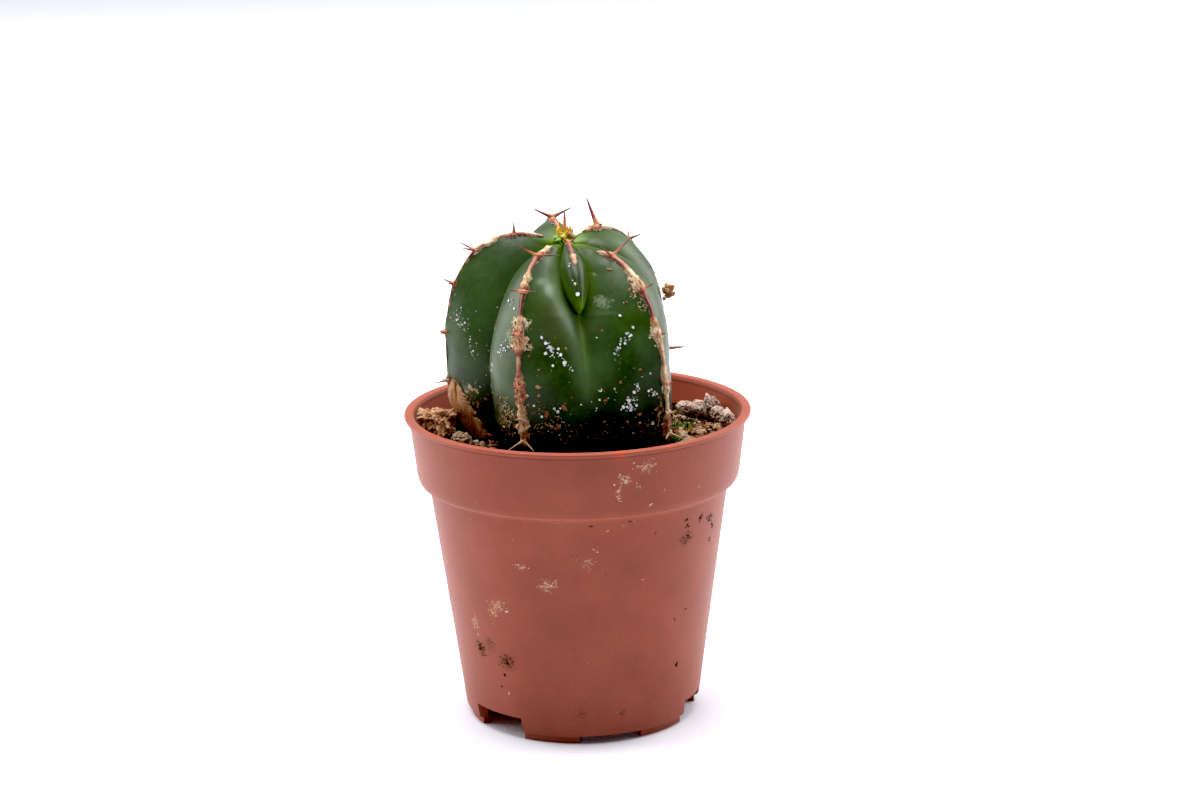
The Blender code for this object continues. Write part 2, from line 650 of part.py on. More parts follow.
def main():
    for obj in list(bpy.data.objects):
        bpy.data.objects.remove(obj, do_unlink=True)
    build_pot()
    build_soil()
    build_stem()
    horn = material("rib_horn", (0.30, 0.10, 0.06), 0.6)
    for name, rib, rise, reach in RIBS:
        start, end, shields = MARGINS[name]
        build_margin("rib_margin_" + name, rib, start, end, shields, horn)
    build_margin("rib_margin_young", FURROWS[0][0], *YOUNG_MARGIN, horn, half=0.6)
    build_tip(material("young_growth", (0.42, 0.42, 0.03), 0.5))
    bark = material("bark", (0.30, 0.15, 0.06), 0.9)
    build_cork(bark)
    build_heap("bark_chip", bark, BARK_CHIP, seed=5)
    pumice = material("pumice", (0.62, 0.50, 0.44), 0.9)
    build_heap("pumice_heap", pumice, PUMICE_HEAP, seed=9)
    build_heap("pumice_right", pumice, PUMICE_RIGHT, seed=13)
    build_heap("pumice_left", pumice, PUMICE_LEFT, seed=15)
    build_crumb(bark)


main()
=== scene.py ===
"""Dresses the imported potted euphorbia: moulded pot, potting mix, ribbed stem, horny spined margins, the
growing point and the loose bits, in the order in which they would be put together, then the studio.

Lengths are in millimetres and are multiplied by MM where a point is made. An azimuth is in degrees
from the front (-Y), positive towards +X.
"""

import math
import random

import bpy
from mathutils import Matrix, Vector, noise


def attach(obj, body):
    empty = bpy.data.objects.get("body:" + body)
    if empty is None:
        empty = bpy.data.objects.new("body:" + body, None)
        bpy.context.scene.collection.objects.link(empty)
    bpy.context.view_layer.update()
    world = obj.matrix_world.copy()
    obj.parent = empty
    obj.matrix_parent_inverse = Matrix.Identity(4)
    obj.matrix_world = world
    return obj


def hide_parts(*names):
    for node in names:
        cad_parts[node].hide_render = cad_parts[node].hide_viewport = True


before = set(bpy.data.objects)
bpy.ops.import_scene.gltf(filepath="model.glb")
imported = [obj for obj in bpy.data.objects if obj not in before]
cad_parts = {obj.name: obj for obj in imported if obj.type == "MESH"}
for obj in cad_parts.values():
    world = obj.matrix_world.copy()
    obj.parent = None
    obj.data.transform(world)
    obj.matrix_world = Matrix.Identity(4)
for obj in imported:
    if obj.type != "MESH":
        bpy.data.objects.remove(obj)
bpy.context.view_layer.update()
bpy.ops.object.select_all(action="DESELECT")

# ---- Nursery pot -----------------------------------------------------------------------------------
# One thin injection moulding in terracotta-coloured polypropylene: a floor plate, a tapered wall, a
# wider collar that stops nested pots from jamming, and a rounded lip. Three drain notches and low
# gaps are left open in the foot ring by the mould.
MM = 0.001
RIM_Z, WALL = 49.7, 0.8
STEP_Z, BODY_TOP_R, BODY_LOW_R = 38.0, 23.8, 18.6
COLLAR_LOW_Z, COLLAR_LOW_R, COLLAR_TOP_R, COLLAR_SLOPE = 41.0, 25.7, 26.7, 0.1237
COLLAR_EDGE_Z, COLLAR_FACE = 39.0, ((25.72, 40.2), (26.69, 48.6))  # its lower edge, and the face above it
FOOT_Z, PLATE_UNDER_Z, PLATE_TOP_Z = 1.3, 3.8, 4.7
NOTCH_AZIMUTH, NOTCH_HALF, NOTCH_TOP_Z, FOOT_GAP = -46.0, 15.4, 3.7, (-2.0, 30.0)
DRAIN_HOLE_R, DRAIN_RING_R = 2.2, 11.0
POT_SIDES = 168
POT_PROFILE = (
    (17.9, 4.7), (18.3, 4.8), (18.52, 5.2), (22.98, 37.9), (23.1, 38.2), (24.8, 40.8), (24.9, 41.1),
    (25.84, 48.7), (25.92, 49.2), (26.06, 49.55), (26.3, 49.69), (26.6, 49.7), (27.2, 49.68), (27.42, 49.58),
    (27.5, 49.38), (27.48, 49.18), (27.36, 49.04), (27.15, 48.98), (26.86, 48.97), (26.73, 48.86),
    (26.69, 48.6), (25.72, 40.2), (25.56, 39.5), (25.38, 39.0), (25.3, 38.82), (25.2, 38.74), (25.05, 38.68),
    (24.3, 38.3), (24.0, 38.15), (23.84, 37.95), (23.77, 37.6), (21.0, 17.54), (18.88, 2.0), (18.82, 1.62),
    (18.66, 1.34), (18.4, 1.18), (18.16, 1.08), (18.1, 0.9), (18.1, 0.12), (18.02, 0.0), (17.28, 0.0),
    (17.2, 0.1), (17.36, 3.6), (17.2, 3.8),
)


def at(azimuth, radius, z, centre_x=0.0):
    a = math.radians(azimuth)
    return Vector((centre_x + radius * math.sin(a), -radius * math.cos(a), z)) * MM


def rgb(colour):
    """An sRGB hex value, or a grey, as the linear colour that a node takes."""
    if not isinstance(colour, str):
        return (colour,) * 3 + (1.0,)
    parts = [int(colour[k:k + 2], 16) / 255 for k in (1, 3, 5)]
    return (*(c / 12.92 if c <= 0.04045 else ((c + 0.055) / 1.055) ** 2.4 for c in parts), 1.0)


def feed(tree, made, inputs):
    """Sets the inputs of a node. One takes a value, a hex colour, another node or one of its outputs."""
    for key, value in inputs.items():
        if isinstance(value, bpy.types.Node):
            value = next(output for output in value.outputs if not output.is_unavailable)
        if isinstance(value, bpy.types.NodeSocket):
            tree.links.new(value, made.inputs[key])
        else:
            made.inputs[key].default_value = rgb(value) if isinstance(value, str) else value


def node(tree, kind, inputs=None, stops=None, **settings):
    """Adds a node with its settings, the stops of its ramp and its links."""
    made = tree.nodes.new("ShaderNode" + kind)
    for name, value in settings.items():
        setattr(made, name, value)
    if stops:
        elements = made.color_ramp.elements
        elements.remove(elements[1])
        for place, colour in stops[1:]:
            elements.new(place).color = rgb(colour)
        elements[0].position = stops[0][0]
        elements[0].color = rgb(stops[0][1])
    feed(tree, made, inputs or {})
    return made


def new_material(name):
    mat = bpy.data.materials.new(name)
    mat.use_nodes = True
    return mat, mat.node_tree, mat.node_tree.nodes["Principled BSDF"]


def pick(*pieces):
    """Selects these pieces alone, and makes the last one active."""
    bpy.ops.object.select_all(action="DESELECT")
    for piece in pieces:
        piece.select_set(True)
    bpy.context.view_layer.objects.active = pieces[-1]


def finish_piece(piece, mat, slot, *replaced, angle=35):
    """Gives a piece its material and smooth shading, and sets it on the body."""
    pick(piece)
    bpy.ops.object.transform_apply(location=True, rotation=True, scale=True)
    bpy.ops.object.shade_smooth_by_angle(angle=math.radians(angle))
    piece.data.materials.clear()
    piece.data.materials.append(mat)
    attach(piece, "root")
    if replaced:
        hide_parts(*replaced)


def cut_away(body, cutter):
    trim = body.modifiers.new("cut", "BOOLEAN")
    trim.operation = "DIFFERENCE"
    trim.solver = "EXACT"
    trim.object = cutter
    pick(body)
    bpy.ops.object.modifier_apply(modifier=trim.name)
    bpy.data.objects.remove(cutter)


def close_mesh(merge=False, fill=False):
    """Merges doubled points and fills open ends where asked, and turns the faces outward."""
    bpy.ops.object.mode_set(mode="EDIT")
    bpy.ops.mesh.select_all(action="SELECT")
    if merge:
        bpy.ops.mesh.remove_doubles(threshold=0.002 * MM)
    if fill:
        bpy.ops.mesh.fill_holes(sides=0)
        bpy.ops.mesh.select_all(action="SELECT")
    bpy.ops.mesh.normals_make_consistent(inside=False)
    bpy.ops.object.mode_set(mode="OBJECT")


def turn_profile(sides, profile, unit):
    """A ring drawn through the radii and heights of a profile and closed at its ends."""
    radius, low = profile[0]
    bpy.ops.mesh.primitive_circle_add(
        vertices=sides, radius=radius * unit, fill_type="NOTHING", location=(0, 0, low * unit))
    bpy.ops.object.mode_set(mode="EDIT")
    for (r, z), (next_r, next_z) in zip(profile, profile[1:]):
        bpy.ops.mesh.extrude_edges_move(TRANSFORM_OT_translate={"value": (0, 0, (next_z - z) * unit)})
        bpy.ops.transform.resize(value=(next_r / r, next_r / r, 1), center_override=(0, 0, next_z * unit))
    close_mesh(fill=True)


def ring_block(start, end, inner, outer, low, high):
    """A block of a ring between two azimuths: a flat grid bent round the axis and extruded up."""
    bpy.ops.mesh.primitive_grid_add(x_subdivisions=14, y_subdivisions=1, size=2)
    block = bpy.context.object
    for v in block.data.vertices:
        azimuth = start + (end - start) * (v.co.x + 1) / 2
        v.co = at(azimuth, inner + (outer - inner) * (v.co.y + 1) / 2, low)
    bpy.ops.object.mode_set(mode="EDIT")
    bpy.ops.mesh.select_all(action="SELECT")
    bpy.ops.mesh.extrude_region_move(TRANSFORM_OT_translate={"value": (0, 0, (high - low) * MM)})
    close_mesh()
    return block


turn_profile(POT_SIDES, POT_PROFILE, MM)
pot = bpy.context.object
pot.name = "nursery_pot"
# the mould repeats its drain notch, foot gap and round hole three times
for turn in (0, 120, 240):
    middle = NOTCH_AZIMUTH + turn
    cut_away(pot, ring_block(middle - NOTCH_HALF, middle + NOTCH_HALF, 14.0, 22.0, -1.0, NOTCH_TOP_Z))
    cut_away(pot, ring_block(FOOT_GAP[0] + turn, FOOT_GAP[1] + turn, 15.0, 21.0, -2.0, FOOT_Z))
    place = at(middle, DRAIN_RING_R, (PLATE_UNDER_Z + PLATE_TOP_Z) / 2)
    bpy.ops.mesh.primitive_cylinder_add(vertices=40, radius=DRAIN_HOLE_R * MM, depth=3 * MM, location=place)
    cut_away(pot, bpy.context.object)

# Moulded polypropylene: a satin skin with a very fine orange peel, slightly cloudy pigment, pale dust
# rubbed into it and old water stains. The stains are places on the wall: azimuth, height, radius.
OLIVE_STAINS = ((-50.6, 14.4, 2.0), (-44.5, 15.6, 1.9), (-35.1, 13.4, 2.3), (45.4, 32.8, 1.7), (-1.0, 5.2, 0.9),
                (18.4, 5.0, 0.8), (61.0, 34.6, 1.0), (150.0, 12.0, 2.2), (-150.0, 30.0, 1.8))
PALE_STAINS = ((23.0, 46.9, 1.7), (15.4, 45.2, 1.4), (2.2, 31.2, 1.5), (-23.7, 30.1, 1.3), (-13.4, 27.4, 1.8),
               (-38.0, 22.3, 1.9), (-52.2, 18.7, 1.3), (120.0, 26.0, 2.4), (-125.0, 20.0, 2.0))


def wall_radius(z):
    """Outer radius of the pot's wall."""
    if z > COLLAR_EDGE_Z:
        (low_r, low_z), (high_r, high_z) = COLLAR_FACE
        return low_r + (high_r - low_r) * (z - low_z) / (high_z - low_z)
    return BODY_LOW_R + (BODY_TOP_R - BODY_LOW_R) * z / STEP_Z


def patch_coat(middle, reach, fade, stir, low, high, most, tint):
    """Share and tint of a coat that lies round one place of the pot and breaks up in a noise."""
    away = node(tree, "VectorMath", {0: place, 1: middle}, operation="DISTANCE")
    near = node(tree, "MapRange", {"Value": away, "From Min": reach * MM, "From Max": 0.0, "To Max": fade})
    spread = node(tree, "Math", {0: near, 1: stir}, operation="ADD")
    return node(tree, "MapRange", {"Value": spread, "From Min": low, "From Max": high, "To Max": most}), tint


plastic, tree, shader = new_material("moulded_polypropylene")
place = node(tree, "TexCoord").outputs["Object"]
clouds = node(tree, "TexNoise", {"Vector": place, "Scale": 1 / (9 * MM), "Detail": 5.0, "Roughness": 0.6})
colour = node(tree, "ValToRGB", {"Fac": clouds}, stops=((0.3, "#83402E"), (0.5, "#8A4532"), (0.72, "#934C39")))
# grit of pigment and dust, about 0.3 mm, drawn coarser than the real powder so that it shows
dust = node(tree, "TexNoise", {"Vector": place, "Scale": 1 / (0.32 * MM), "Detail": 3.0, "Roughness": 0.7})
speck = node(tree, "TexVoronoi", {"Vector": place, "Scale": 1 / (2.6 * MM)})
coats = [(node(tree, "ValToRGB", {"Fac": dust}, stops=((0.56, 0.0), (0.78, 0.3))), "#AE7262"),
         (node(tree, "ValToRGB", {"Fac": speck}, stops=((0.025, 0.5), (0.045, 0.0))), "#C69383")]
for stains, tint, most, grain in ((OLIVE_STAINS, "#4A2A18", 0.45, 0.4), (PALE_STAINS, "#A87866", 0.16, 0.5)):
    blot = node(tree, "TexNoise", {
        "Vector": place, "Scale": 1 / (grain * MM), "Detail": 6.0, "Roughness": 0.75})
    for azimuth, z, radius in stains:
        middle = at(azimuth, wall_radius(z), z)
        coats.append(patch_coat(middle, radius * 1.3, 0.62, blot, 0.68, 1.05, most, tint))
# painted light: the inside wall of the collar is painted lighter, a painted glow
axes = node(tree, "SeparateXYZ", {"Vector": place}).outputs
flat = node(tree, "CombineXYZ", {"X": axes["X"], "Y": axes["Y"]})
away = node(tree, "VectorMath", {0: flat}, operation="LENGTH")
inward = node(tree, "Math", {0: axes["Z"], 1: -COLLAR_SLOPE, 2: away}, operation="MULTIPLY_ADD")
high_up = node(tree, "MapRange", {"Value": axes["Z"], "From Min": 39.4 * MM, "From Max": 40.2 * MM,
                                  "To Max": 0.5})
painted_inner_glow = node(tree, "MapRange", {"Value": inward, "From Min": 20.3 * MM, "From Max": 20.1 * MM, "To Max": high_up})
# the top of the lip is drawn paler, and chipped in places
paler_lip_top = node(tree, "MapRange", {"Value": axes["Z"], "From Min": 49.0 * MM, "From Max": 49.4 * MM,
                                 "To Max": 0.35})
coats += [(painted_inner_glow, "#A8523E"), (paler_lip_top, "#A3584A")]
for azimuth, length in ((13.4, 2.2), (31.2, 1.4), (-8.0, 0.8), (160.0, 2.0), (-130.0, 1.6)):
    coats.append(patch_coat(at(azimuth, 27.3, 49.4), length, 0.5, dust, 0.72, 0.86, 0.7, "#B4472B"))
# painted shade darkens the corner below the lip, where its shadow falls, and the collar's lower edge is drawn
# paler in broken lengths
bands = []
for z, edge, core, most in ((48.8, 0.28, 0.1, 0.55), (38.85, 0.2, 0.08, 1.0)):
    above = node(tree, "Math", {0: axes["Z"], 1: z * MM}, operation="SUBTRACT")
    off = node(tree, "Math", {0: above}, operation="ABSOLUTE")
    bands.append(node(tree, "MapRange", {
        "Value": off, "From Min": edge * MM, "From Max": core * MM, "To Max": most}))
broken = node(tree, "MapRange", {"Value": dust, "From Min": 0.35, "From Max": 0.6, "To Min": 0.1,
                                 "To Max": 0.5})
pale_edge_line = node(tree, "Math", {0: bands[1], 1: broken}, operation="MULTIPLY")
coats += [(bands[0], "#5E2A1E"), (pale_edge_line, "#A06452")]
for share, tint in coats:
    colour = node(tree, "Mix", {0: share, 6: colour, 7: tint}, data_type="RGBA")
peel = node(tree, "TexNoise", {"Vector": place, "Scale": 1 / (0.45 * MM), "Detail": 2.0})
wave = node(tree, "TexNoise", {"Vector": place, "Scale": 1 / (6 * MM), "Detail": 1.0})
relief = node(tree, "Math", {0: wave, 1: 4.0, 2: peel}, operation="MULTIPLY_ADD")
feed(tree, shader, {
    "Base Color": colour,
    "Roughness": node(tree, "MapRange", {"Value": clouds, "To Min": 0.40, "To Max": 0.56}),
    "Normal": node(tree, "Bump", {"Height": relief, "Strength": 0.16, "Distance": 0.05 * MM}),
    "IOR": 1.49, "Specular IOR Level": 0.22, "Sheen Weight": 0.16, "Sheen Roughness": 0.3,
    "Sheen Tint": "#F0C2AC"})
finish_piece(pot, plastic, "pot_plastic", "pot")

# ---- Dried splashes on the pot -----------------------------------------------------------------------
# Drops of muddy and of hard water that dried on the wall. Each has left a small star of thin crust:
# azimuth, height, half the width and height of its spread, number of crumbs, and tone from mud to lime.
SPLASHES = (
    (23.0, 46.9, 1.5, 1.1, 46, 0.7), (15.4, 45.2, 1.0, 0.8, 30, 0.72), (13.4, 43.0, 0.5, 1.3, 22, 0.72),
    (24.9, 40.5, 0.3, 0.3, 5, 0.8), (20.1, 44.0, 0.6, 0.4, 7, 0.7), (30.4, 42.5, 0.3, 0.3, 4, 0.66),
    (45.2, 41.6, 0.2, 0.2, 2, 0.8), (16.2, 37.1, 0.45, 0.3, 6, 0.75), (20.8, 37.6, 0.3, 0.15, 3, 0.8),
    (10.5, 36.4, 0.3, 0.2, 4, 0.7), (4.9, 33.5, 0.2, 0.3, 4, 0.95), (6.4, 33.1, 0.15, 0.15, 2, 0.95),
    (2.2, 31.2, 1.3, 1.3, 18, 0.62), (-23.7, 30.1, 1.2, 0.5, 14, 0.66), (-13.4, 27.4, 1.5, 0.9, 40, 0.72),
    (25.0, 27.5, 0.3, 0.15, 3, 0.7), (-37.0, 22.9, 1.2, 0.8, 40, 0.66), (-39.6, 21.5, 1.0, 0.9, 24, 0.66),
    (-32.1, 22.4, 0.3, 0.6, 4, 1.0), (-52.2, 18.7, 0.7, 1.3, 26, 0.7), (-51.3, 16.7, 0.15, 0.15, 2, 0.8),
    (-36.6, 7.9, 0.3, 0.3, 4, 0.66), (-77.0, 21.7, 0.5, 1.6, 20, 0.6), (-72.0, 27.0, 0.3, 0.9, 6, 0.62),
    (53.6, 35.5, 0.6, 0.6, 18, 0.05), (60.9, 34.7, 1.0, 0.8, 26, 0.08), (63.8, 33.2, 0.5, 0.7, 14, 0.1),
    (43.8, 36.0, 0.3, 0.3, 5, 0.1), (45.2, 35.0, 0.4, 0.4, 7, 0.1), (45.4, 32.8, 1.4, 1.0, 56, 0.08),
    (62.7, 30.6, 0.3, 0.4, 5, 0.12), (29.6, 35.0, 0.4, 0.4, 6, 0.2), (18.9, 37.7, 0.3, 0.15, 4, 0.12),
    (4.5, 37.3, 0.3, 0.15, 4, 0.12), (10.0, 29.2, 0.15, 0.15, 2, 0.1), (-50.6, 14.4, 0.8, 1.1, 44, 0.08),
    (-42.5, 16.1, 0.9, 0.5, 6, 0.2), (-35.1, 13.4, 1.3, 1.0, 52, 0.1), (-37.2, 10.8, 0.15, 0.6, 5, 0.1),
    (-39.8, 8.7, 0.2, 0.2, 3, 0.05), (49.5, 20.5, 0.3, 0.3, 3, 0.15), (43.0, 19.3, 0.3, 0.5, 4, 0.15),
    (47.2, 11.3, 0.3, 0.3, 6, 0.05), (-1.0, 5.2, 1.6, 0.9, 11, 0.35), (18.4, 5.0, 1.6, 0.9, 10, 0.35),
    (-170, 30, 1.2, 0.9, 22, 0.75), (150, 12, 1.0, 1.0, 20, 0.1), (118, 26, 1.2, 1.2, 22, 0.85),
    (-125, 20, 1.0, 1.0, 18, 0.7), (-100, 44, 0.9, 0.6, 14, 0.7), (95, 45, 0.8, 0.5, 12, 0.75),
    (-150, 30, 1.0, 0.8, 20, 0.1), (85, 16, 0.8, 0.8, 12, 0.15), (178, 44, 0.7, 0.7, 12, 0.2),
)
draw = random.Random(21)


def copy_source():
    """The active primitive as lists of its points and faces, from which copies are made."""
    source = bpy.context.object
    found = [v.co.copy() for v in source.data.vertices], [tuple(p.vertices) for p in source.data.polygons]
    bpy.data.objects.remove(source)
    return found


def write_values(mesh, **values):
    """Gives every point of a mesh its value of each attribute."""
    for key, listed in values.items():
        mesh.attributes.new(key, "FLOAT", "POINT").data.foreach_set("value", listed)


def mesh_piece(name, points, faces, tones, **values):
    """A piece from points and faces, with one value of each attribute for every point."""
    mesh = bpy.data.meshes.new(name)
    mesh.from_pydata(points, [], faces)
    write_values(mesh, tone=tones, **values)
    piece = bpy.data.objects.new(name, mesh)
    bpy.context.scene.collection.objects.link(piece)
    return piece


def add_faces(into, points, faces, tones):
    """Adds points, faces and tones to the lists of a piece."""
    first = len(into[0])
    into[0].extend(points)
    into[1].extend(tuple(first + k for k in face) for face in faces)
    into[2].extend(tones)


def add_copy(into, source, move, tone):
    """Adds one copy of a source to the lists of a piece: points, faces and tones."""
    add_faces(into, [move(co) for co in source[0]], source[1], [tone] * len(source[0]))


def grain_source(fineness):
    bpy.ops.mesh.primitive_ico_sphere_add(subdivisions=fineness, radius=1)
    return copy_source()


def clamp(x):
    return min(1.0, max(0.0, x))


grain_20, grain_80, grain_320, grain_fine = (grain_source(fineness) for fineness in (1, 2, 3, 5))


def noise_offset(draw):
    """A random place in the noise, so that no two copies are dented alike."""
    return Vector([draw.uniform(-50, 50) for _ in range(3)])


def stone_move(draw, middle, radii, turn, rough, tilt=0.5):
    """Places a grain: stretched to its radii, dented at random, turned and tilted."""
    spin = Matrix.Rotation(math.radians(turn), 3, "Z")
    for axis in "XY":
        spin = spin @ Matrix.Rotation(draw.uniform(-tilt, tilt), 3, axis)
    offset = noise_offset(draw)

    def move(co):
        dent = 1 + rough * (noise.noise(co * 1.3 + offset) + 0.6 * noise.noise(co * 3.1 + offset))
        return middle + spin @ Vector((co.x * radii[0], co.y * radii[1], co.z * radii[2])) * dent * MM
    return move


splashes = [], [], []
for azimuth, z, wide, high, count, tone in SPLASHES:
    rays = [draw.uniform(0, 2 * math.pi) for _ in range(9)]
    starry = count > 12
    for k in range(count * 2 if starry else count):
        if k % 2 and starry:
            # fine threads that run out from the middle like a star
            size, lean, reach = 0.1, draw.choice(rays) + draw.gauss(0, 0.1), draw.uniform(0.2, 1.25)
            swing = draw.uniform(0.25, 0.4)
            spot_z = z + math.sin(lean) * reach * high
            spot = azimuth + math.degrees(math.cos(lean) * reach * wide / wall_radius(z))
        else:
            spot_z = z + draw.gauss(0, high * 0.5)
            spot = azimuth + math.degrees(draw.gauss(0, wide * 0.5) / wall_radius(z))
            size = draw.choice((0.05, 0.07, 0.09, 0.12, 0.17)) * (1.7 if tone < 0.15 and count < 30 else 1.0)
            lean, swing = draw.uniform(-1.2, 1.2), draw.uniform(0.5, 1.0)
        if STEP_Z - 0.2 < spot_z < COLLAR_LOW_Z - 1.1:  # none hangs in the air below the collar
            continue
        middle = at(spot, wall_radius(spot_z), spot_z)
        out, up = at(spot, 1, 0).normalized(), Vector((0, 0, 1))
        side = up.cross(out)
        along = side * math.cos(lean) + up * math.sin(lean)
        over = up * math.cos(lean) - side * math.sin(lean)

        def lay(co):
            return middle + (along * co.x * size * 1.5 + over * co.y * size * swing + out * co.z * 0.035) * MM
        add_copy(splashes, grain_20, lay, clamp(tone + draw.uniform(-0.12, 0.12)))
crust = mesh_piece("dried_splashes", *splashes)


def toned_material(name, grain, share, stops, feel, drop=0.0, bump=None, stretch=None):
    """A stuff whose colour follows the tone of its points along a ramp, stirred by a fine grain."""
    mat, tree, shader = new_material(name)
    place = node(tree, "TexCoord").outputs["Object"]
    if stretch:
        place = node(tree, "VectorMath", {0: place, 1: stretch}, operation="MULTIPLY")
    stir = node(tree, "TexNoise", {"Vector": place, **grain})
    tone = node(tree, "Attribute", attribute_name="tone").outputs["Fac"]
    mixed = node(tree, "Math", {0: stir, 1: share, 2: tone}, operation="MULTIPLY_ADD")
    if drop:
        mixed = node(tree, "Math", {0: mixed, 1: drop}, operation="SUBTRACT")
    feed(tree, shader, {"Base Color": node(tree, "ValToRGB", {"Fac": mixed}, stops=stops), **feel})
    if bump:
        strength, depth = bump
        relief = node(tree, "Bump", {"Height": stir, "Strength": strength, "Distance": depth * MM})
        feed(tree, shader, {"Normal": relief})
    return mat


# Dried mud and lime scale: dull and powdery, so it has no shine at all.
scale_dust = toned_material("dried_mud_and_lime", {"Scale": 1 / (0.2 * MM)}, 0.16, (
    (0.16, "#22140A"), (0.34, "#54341F"), (0.66, "#B58A62"), (0.82, "#C8A488"), (1.0, "#DCCABF")),
    {"Roughness": 0.9, "Specular IOR Level": 0.03})
finish_piece(crust, scale_dust, "potting_mix")

# ---- Potting mix -------------------------------------------------------------------------------------
# Peat with fine bark and pumice grit, poured round the root ball and sunk by watering. It fills the
# pot down to the plate, and its crumbs, bark bits and grit lie loose on top.
SOIL_TOP_Z, SOIL_LINE_Z, FIT_GAP = 46.1, 44.5, 0.35
LAID_SPANS, LAID_INNER_R = ((-112.0, -48.0), (86.0, 142.0)), 21.4
GRIT_COUNT, GRIT_R, GRIT_SUNK, GRIT_CLEAR = 60, (0.6, 1.15), 0.2, 0.65


def inner_radius(z):
    """Inner radius of the pot's wall."""
    if z <= STEP_Z:
        return BODY_LOW_R + (BODY_TOP_R - BODY_LOW_R) * z / STEP_Z - WALL
    if z <= COLLAR_LOW_Z:
        return BODY_TOP_R - WALL + (COLLAR_LOW_R - BODY_TOP_R) * (z - STEP_Z) / (COLLAR_LOW_Z - STEP_Z)
    return COLLAR_LOW_R - WALL + (COLLAR_TOP_R - COLLAR_LOW_R) * (z - COLLAR_LOW_Z) / (RIM_Z - COLLAR_LOW_Z)


def soil_top(x, y):
    """Height of the soil: it lies lower behind the plant on the right, and is never quite level."""
    azimuth = math.degrees(math.atan2(x, -y))
    back_right = max(0.0, math.cos(math.radians(azimuth - 150)))
    ripple = 0.25 * math.sin(0.55 * x + 1.3) + 0.2 * math.sin(0.6 * y - 0.4)
    return SOIL_TOP_Z - 2.0 * back_right**1.5 + ripple


def grid_piece(name, columns, rows):
    """A flat grid of two by two, whose points are then laid out one by one."""
    bpy.ops.mesh.primitive_grid_add(x_subdivisions=columns, y_subdivisions=rows, size=2)
    bpy.context.object.name = name
    return bpy.context.object


# the rows of the grid run out over the top to the wall, then down the wall and in under the mix
SOIL_ROWS, SOIL_TOP_ROWS, SOIL_WALL_ROWS, SOIL_WALL_TOP_Z = 46, 36, 44, 45.2
soil = grid_piece("potting_soil", 220, SOIL_ROWS)
for v in soil.data.vertices:
    azimuth, row = 180 * (v.co.x + 1), round((v.co.y + 1) / 2 * SOIL_ROWS)
    if row <= SOIL_TOP_ROWS:
        radius = (inner_radius(SOIL_TOP_Z) - FIT_GAP) * row / SOIL_TOP_ROWS
        place = at(azimuth, radius, 0)
        lumpy = 0.55 * noise.noise(place / (2.6 * MM)) + 0.35 * noise.noise(place / (0.9 * MM))
        place.z = (soil_top(place.x / MM, place.y / MM) - 0.25 + lumpy * min(1, row / 4)) * MM
    elif row <= SOIL_WALL_ROWS:
        z = SOIL_WALL_TOP_Z + (PLATE_TOP_Z + FIT_GAP - SOIL_WALL_TOP_Z) * (row - SOIL_TOP_ROWS - 1) / 7
        place = at(azimuth, inner_radius(z) - FIT_GAP, z)
    else:
        place = at(azimuth, 17.0 * (SOIL_ROWS - row), PLATE_TOP_Z + FIT_GAP)
    v.co = place
close_mesh(merge=True)

# Damp peat: almost black between the crumbs, with brown fibres; the surface eats the light.
peat, tree, shader = new_material("damp_peat")
place = node(tree, "TexCoord").outputs["Object"]
fleck = node(tree, "TexNoise", {"Vector": place, "Scale": 1 / (0.7 * MM), "Detail": 6.0, "Roughness": 0.7})
peat_colour = node(tree, "ValToRGB", {"Fac": fleck}, stops=(
    (0.36, "#0F0A06"), (0.5, "#2C1C11"), (0.6, "#4C3220"), (0.72, "#7A5738")))
feed(tree, shader, {
    "Base Color": peat_colour,
    "Normal": node(tree, "Bump", {"Height": fleck, "Strength": 0.8, "Distance": 0.3 * MM}),
    "Roughness": 0.95, "Specular IOR Level": 0.2})
finish_piece(soil, peat, "potting_mix", "soil", angle=60)

# Stem form, which the crumbs keep clear of: five swollen ribs round a sunken growing point. t runs
# 0-1 from the apex to the shoulder's top, 1-2 over the shoulder and 2-3 down the side.
APEX_Z, WIDEST_Z, WIDEST_R = 76.0, 57.0, 20.0
SHOULDER_TOP_R, SHOULDER_TOP_Z, SHOULDER_POWER = 6.5, 78.0, 2.4
WAIST_IN, WAIST_DROP = 0.8, 13.0
STEM_X, STEM_LEAN, LEAN_FROM_Z = 0.2, -0.054, 44.0
FURROW_TOP_R, FURROW_TOP_Z, FURROW_WIDEST_R, FURROW_WAIST_IN, FURROW_POWER = 2.0, 75.3, 14.0, 0.6, 2.1
RIBS = (  # azimuth, rise of the shoulder, reach
    (-24.0, -1.4, 1.0), (44.5, -2.0, 1.0), (133.0, -0.3, 0.94), (193.0, 0.8, 0.96), (276.0, 0.1, 0.992))
FURROWS = (  # azimuth, and how sharply the flanks fall to it at the shoulder, the middle and the soil
    (7.5, (0.45, 0.45, 0.45)), (87.0, (0.45, 1.2, 1.45)), (163.0, (0.36, 0.5, 0.6)), (232.0, (0.62, 0.5, 0.6)),
    (300.0, (0.9, 0.45, 0.68)))
FLANK_LEVELS = (72.0, 60.0, 46.0)
RISE_R, RISE_FROM_Z, RISE_DROP = 7.0, 44.0, 20.0
YOUNG_HALF, YOUNG_TAPER, YOUNG_END_Z, YOUNG_LIFT, YOUNG_POWER = 14.6, 0.62, 70.2, 0.72, 0.8
SHALLOW_FROM_Z, SHALLOW_TO_Z, SHALLOW_REST, SHALLOW_POWER = 70.0, 48.0, 0.06, 1.3
SIDE_END = 2 + (WIDEST_Z - SOIL_LINE_Z) / WAIST_DROP


